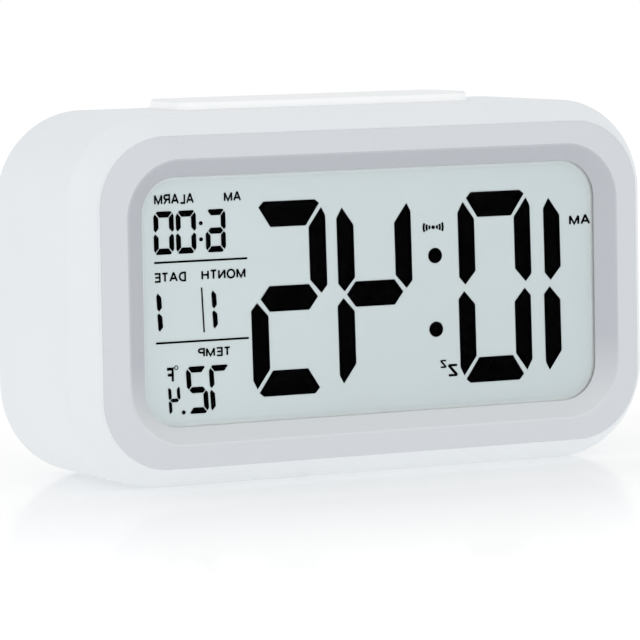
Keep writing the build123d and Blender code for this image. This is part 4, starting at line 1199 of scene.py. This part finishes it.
@dataclass
class BatteryCells:
    """Three cells with rolled sleeves and steel ends, and the springs at their flat ends.

    Sizes of a cell are in millimetres. The flat contact is given as places along the axis with radii, the
    flat rim as places with drops from the sleeve's radius, the nub's rim as distances back from the shoulder
    with such drops, and the nub's foot as distances back from the shoulder with radii.
    """

    wardrobe: Wardrobe
    band: MouldedPlastic = MouldedPlastic(
        "sleeve_band", (206, 208, 211), (196, 198, 202), GLOSS, depth=FLAT, coat=0.5
    )
    nub_sides: tuple[tuple[str, int], ...] = (("cell_upper", -1), ("cell_middle", 1), ("cell_lower", -1))
    flat_contact: tuple[Pair, ...] = ((0.0, 0.0), (0.0, 2.9), (0.25, 3.1))
    flat_rim: tuple[Pair, ...] = ((0.25, 1.0), (0.05, 0.8), (0.05, 0.4), (0.2, 0.12), (0.5, 0.0))
    band_start: float = 33.0
    band_end: float = 36.0
    nub_rim: tuple[Pair, ...] = ((0.5, 0.0), (0.2, 0.12), (0.0, 0.4), (0.0, 0.9), (0.3, 1.0))
    nub_foot: tuple[Pair, ...] = ((0.3, 2.6), (0.0, 2.2))
    nub_length: float = 1.0
    nub_radius: float = 1.9
    nub_start: float = 0.1
    nub_chamfer: Pair = (0.15, 0.2)
    steel_drop: float = 0.9
    band_drop: float = 0.1
    sides: int = 48
    spring_wire: float = 0.6 * MM
    spring_turns: float = 4.5
    spring_base: float = 3.4 * MM
    spring_tip: float = 2.2 * MM

    def outline(self, radius: float, length: float) -> list[Pair]:
        """Trace half of a cell's section from its flat end to its nub.

        Args:
            radius: radius of the sleeve in millimetres.
            length: length with the nub in millimetres.

        Returns:
            Places along the axis with their radii, in millimetres.
        """
        shoulder = length - self.nub_length
        return [
            *self.flat_contact,
            *((x, radius - drop) for x, drop in self.flat_rim),
            (self.band_start, radius),
            (self.band_end, radius),
            *((shoulder - back, radius - drop) for back, drop in self.nub_rim),
            *((shoulder - back, out) for back, out in self.nub_foot),
            (shoulder + self.nub_start, self.nub_radius),
            (length - self.nub_chamfer[0], self.nub_radius),
            (length, self.nub_radius - self.nub_chamfer[1]),
            (length, 0.0),
        ]

    def turn_cell(self, radius: float, length: float) -> Shape:
        """Turn a cell about +X from its flat end at 0.

        Args:
            radius: radius of the sleeve in metres.
            length: length with the nub in metres.

        Returns:
            The cell's mesh, with its faces numbered for sleeve, steel and band.
        """
        shape = bmesh.new()
        points = [(x * MM, r * MM) for x, r in self.outline(radius / MM, length / MM)]
        chain = [shape.verts.new((x, r, 0)) for x, r in points]
        edges = [shape.edges.new(pair) for pair in zip(chain, chain[1:])]
        sweep = {"axis": (1, 0, 0), "angle": math.tau, "steps": self.sides, "use_merge": True}
        bmesh.ops.spin(shape, geom=chain + edges, cent=ORIGIN, **sweep)
        bmesh.ops.remove_doubles(shape, verts=shape.verts, dist=SAME_PLACE)
        for face in shape.faces:
            middle = face.calc_center_median()
            out = math.hypot(middle.y, middle.z)
            on_band = self.band_start * MM < middle.x < self.band_end * MM
            face.smooth = True
            if out < radius - self.steel_drop * MM:
                face.material_index = 1
            elif on_band and out > radius - self.band_drop * MM:
                face.material_index = 2
        return shape

    def build_cells(self) -> None:
        """Make each cell where its plain one lies."""
        more = (self.wardrobe.materials[Slot.NICKEL], self.band.material())
        half_turn = Matrix.Rotation(math.pi, 3, "Z")
        for node, side in self.nub_sides:
            low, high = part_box(node)
            middle = (low + high) / 2
            shape = self.turn_cell((high.z - low.z) / 2, high.x - low.x)
            if side < 0:
                bmesh.ops.rotate(shape, verts=shape.verts, cent=ORIGIN, matrix=half_turn)
            start = low.x if side > 0 else high.x
            bmesh.ops.translate(shape, verts=shape.verts, vec=(start, middle.y, middle.z))
            self.wardrobe.place(f"{node}_sleeved", shape, Slot.SLEEVE, *more, replaced=node)

    def build_springs(self) -> None:
        """Wind the tapered springs between the plates and the cells' flat ends."""
        low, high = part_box("cell_springs")
        shape = bmesh.new()
        for node, side in self.nub_sides:
            cell_low, cell_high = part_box(node)
            middle = (cell_low + cell_high) / 2
            flat_x = cell_low.x if side > 0 else cell_high.x
            plate_x = low.x if side > 0 else high.x
            length = abs(flat_x - plate_x)
            size = CoilSize(self.spring_base, self.spring_tip, length, self.spring_wire, self.spring_turns)
            coil = wind_coil(size)
            turn = Matrix.Rotation(math.radians(90 * side), 4, "Y")
            shift = Matrix.Translation((plate_x, middle.y, middle.z))
            bmesh.ops.transform(coil, matrix=shift @ turn, verts=coil.verts)
            add_mesh(shape, coil)
        self.wardrobe.place("cell_coils", shape, Slot.NICKEL, replaced="cell_springs")


@dataclass(frozen=True)
class SoftBox:
    """A large soft lamp: where it stands, its width and what it adds on a facing surface."""

    name: str
    place: Triple
    width: float
    level: float


@dataclass
class Studio:
    """White studio: floor, world, soft lamps and the photographed camera."""

    world_level: float = 0.895
    lamps: tuple[SoftBox, ...] = (
        SoftBox("left_box", (-1.4, -0.3, 0.8), 1.0, 0.1),
        SoftBox("front_box", (0.35, -1.6, 0.3), 1.2, 0.13),
    )
    table: LightTable = LightTable("floor_pale")
    floor_size: float = 6.0
    floor_drop: float = 0.05 * MM
    turn: float = 27.18
    rise: float = 4.3
    roll: float = 1.005
    distance: float = 952.4 * MM
    focal_pixels: float = 4502.5
    image_pixels: float = 640.0
    sensor: float = 36.0
    pivot: Triple = (0.0, -2.5 * MM, 38.25 * MM)
    axis_pixel: Pair = (335.95, 286.28)

    def build_world(self) -> None:
        """Light the clock evenly and show white behind it."""
        world = bpy.data.worlds.new("studio_world")
        bpy.context.scene.world = world
        world.use_nodes = True
        world.node_tree.nodes.clear()
        bench = Bench(world.node_tree)
        path = bench.add("ShaderNodeLightPath")
        seen = bench.math("MAXIMUM", path.outputs["Is Camera Ray"], path.outputs["Is Glossy Ray"])
        seen = bench.math("MAXIMUM", seen, path.outputs["Is Transmission Ray"])
        light, white = (
            bench.add("ShaderNodeBackground", {"Color": WHITE, "Strength": strength}).outputs[0]
            for strength in (self.world_level, 1.0)
        )
        mixed = bench.add("ShaderNodeMixShader", {0: seen, 1: light, 2: white}).outputs[0]
        bench.add("ShaderNodeOutputWorld", {"Surface": mixed})

    def build_floor(self) -> None:
        """Lay the light table just under the clock."""
        shape = bmesh.new()
        bmesh.ops.create_grid(shape, x_segments=1, y_segments=1, size=self.floor_size / 2)
        bmesh.ops.translate(shape, verts=shape.verts, vec=(0, 0, -self.floor_drop))
        mesh = bpy.data.meshes.new("studio_floor")
        shape.to_mesh(mesh)
        shape.free()
        mesh.materials.append(self.table.material())
        floor = bpy.data.objects.new("studio_floor", mesh)
        bpy.context.scene.collection.objects.link(floor)

    def build_lamps(self) -> None:
        """Set the soft lamps round the clock, each turned towards it."""
        for box in self.lamps:
            place = Vector(box.place)
            sight = Vector(self.pivot) - place
            light = bpy.data.lights.new(box.name, "AREA")
            light.size = box.width
            light.energy = box.level * math.pi**2 * sight.length_squared
            lamp = bpy.data.objects.new(box.name, light)
            lamp.location = place
            lamp.rotation_euler = sight.to_track_quat("-Z", "Y").to_euler()
            bpy.context.scene.collection.objects.link(lamp)

    def build_camera(self) -> None:
        """Set the camera at the photograph's angle and framing."""
        turn = math.radians(self.turn)
        rise = math.radians(self.rise)
        roll = math.radians(self.roll)
        back = Vector((-math.sin(turn) * math.cos(rise), -math.cos(turn) * math.cos(rise), math.sin(rise)))
        right = Vector((math.cos(turn), -math.sin(turn), 0))
        up = back.cross(right)
        side = right * math.cos(roll) - up * math.sin(roll)
        top = up * math.cos(roll) + right * math.sin(roll)
        lens = bpy.data.cameras.new("photo_camera")
        lens.sensor_width = self.sensor
        lens.lens = self.focal_pixels * self.sensor / self.image_pixels
        lens.shift_x = 0.5 - self.axis_pixel[0] / self.image_pixels
        lens.shift_y = self.axis_pixel[1] / self.image_pixels - 0.5
        camera = bpy.data.objects.new("photo_camera", lens)
        pose = Matrix((side, top, back)).transposed().to_4x4()
        pose.translation = Vector(self.pivot) + back * self.distance
        camera.matrix_world = pose
        bpy.context.scene.collection.objects.link(camera)
        bpy.context.scene.camera = camera

    def build(self) -> None:
        """Build the whole studio."""
        self.build_camera()
        self.build_world()
        self.build_floor()
        self.build_lamps()
        bpy.context.scene.view_settings.view_transform = "Standard"


def main() -> None:
    """Dress the clock, add its printed and wound pieces, and set it in the studio."""
    logging.basicConfig(level=logging.INFO, format="%(name)s: %(message)s")
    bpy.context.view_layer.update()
    wardrobe = Wardrobe()
    wardrobe.dress_nodes()
    display = Display(wardrobe)
    display.build_words()
    display.build_signs()
    RearPrint(wardrobe).build()
    SnoozeSprings(wardrobe).build()
    cells = BatteryCells(wardrobe)
    cells.build_cells()
    cells.build_springs()
    Studio().build()


if __name__ == "__main__":
    main()
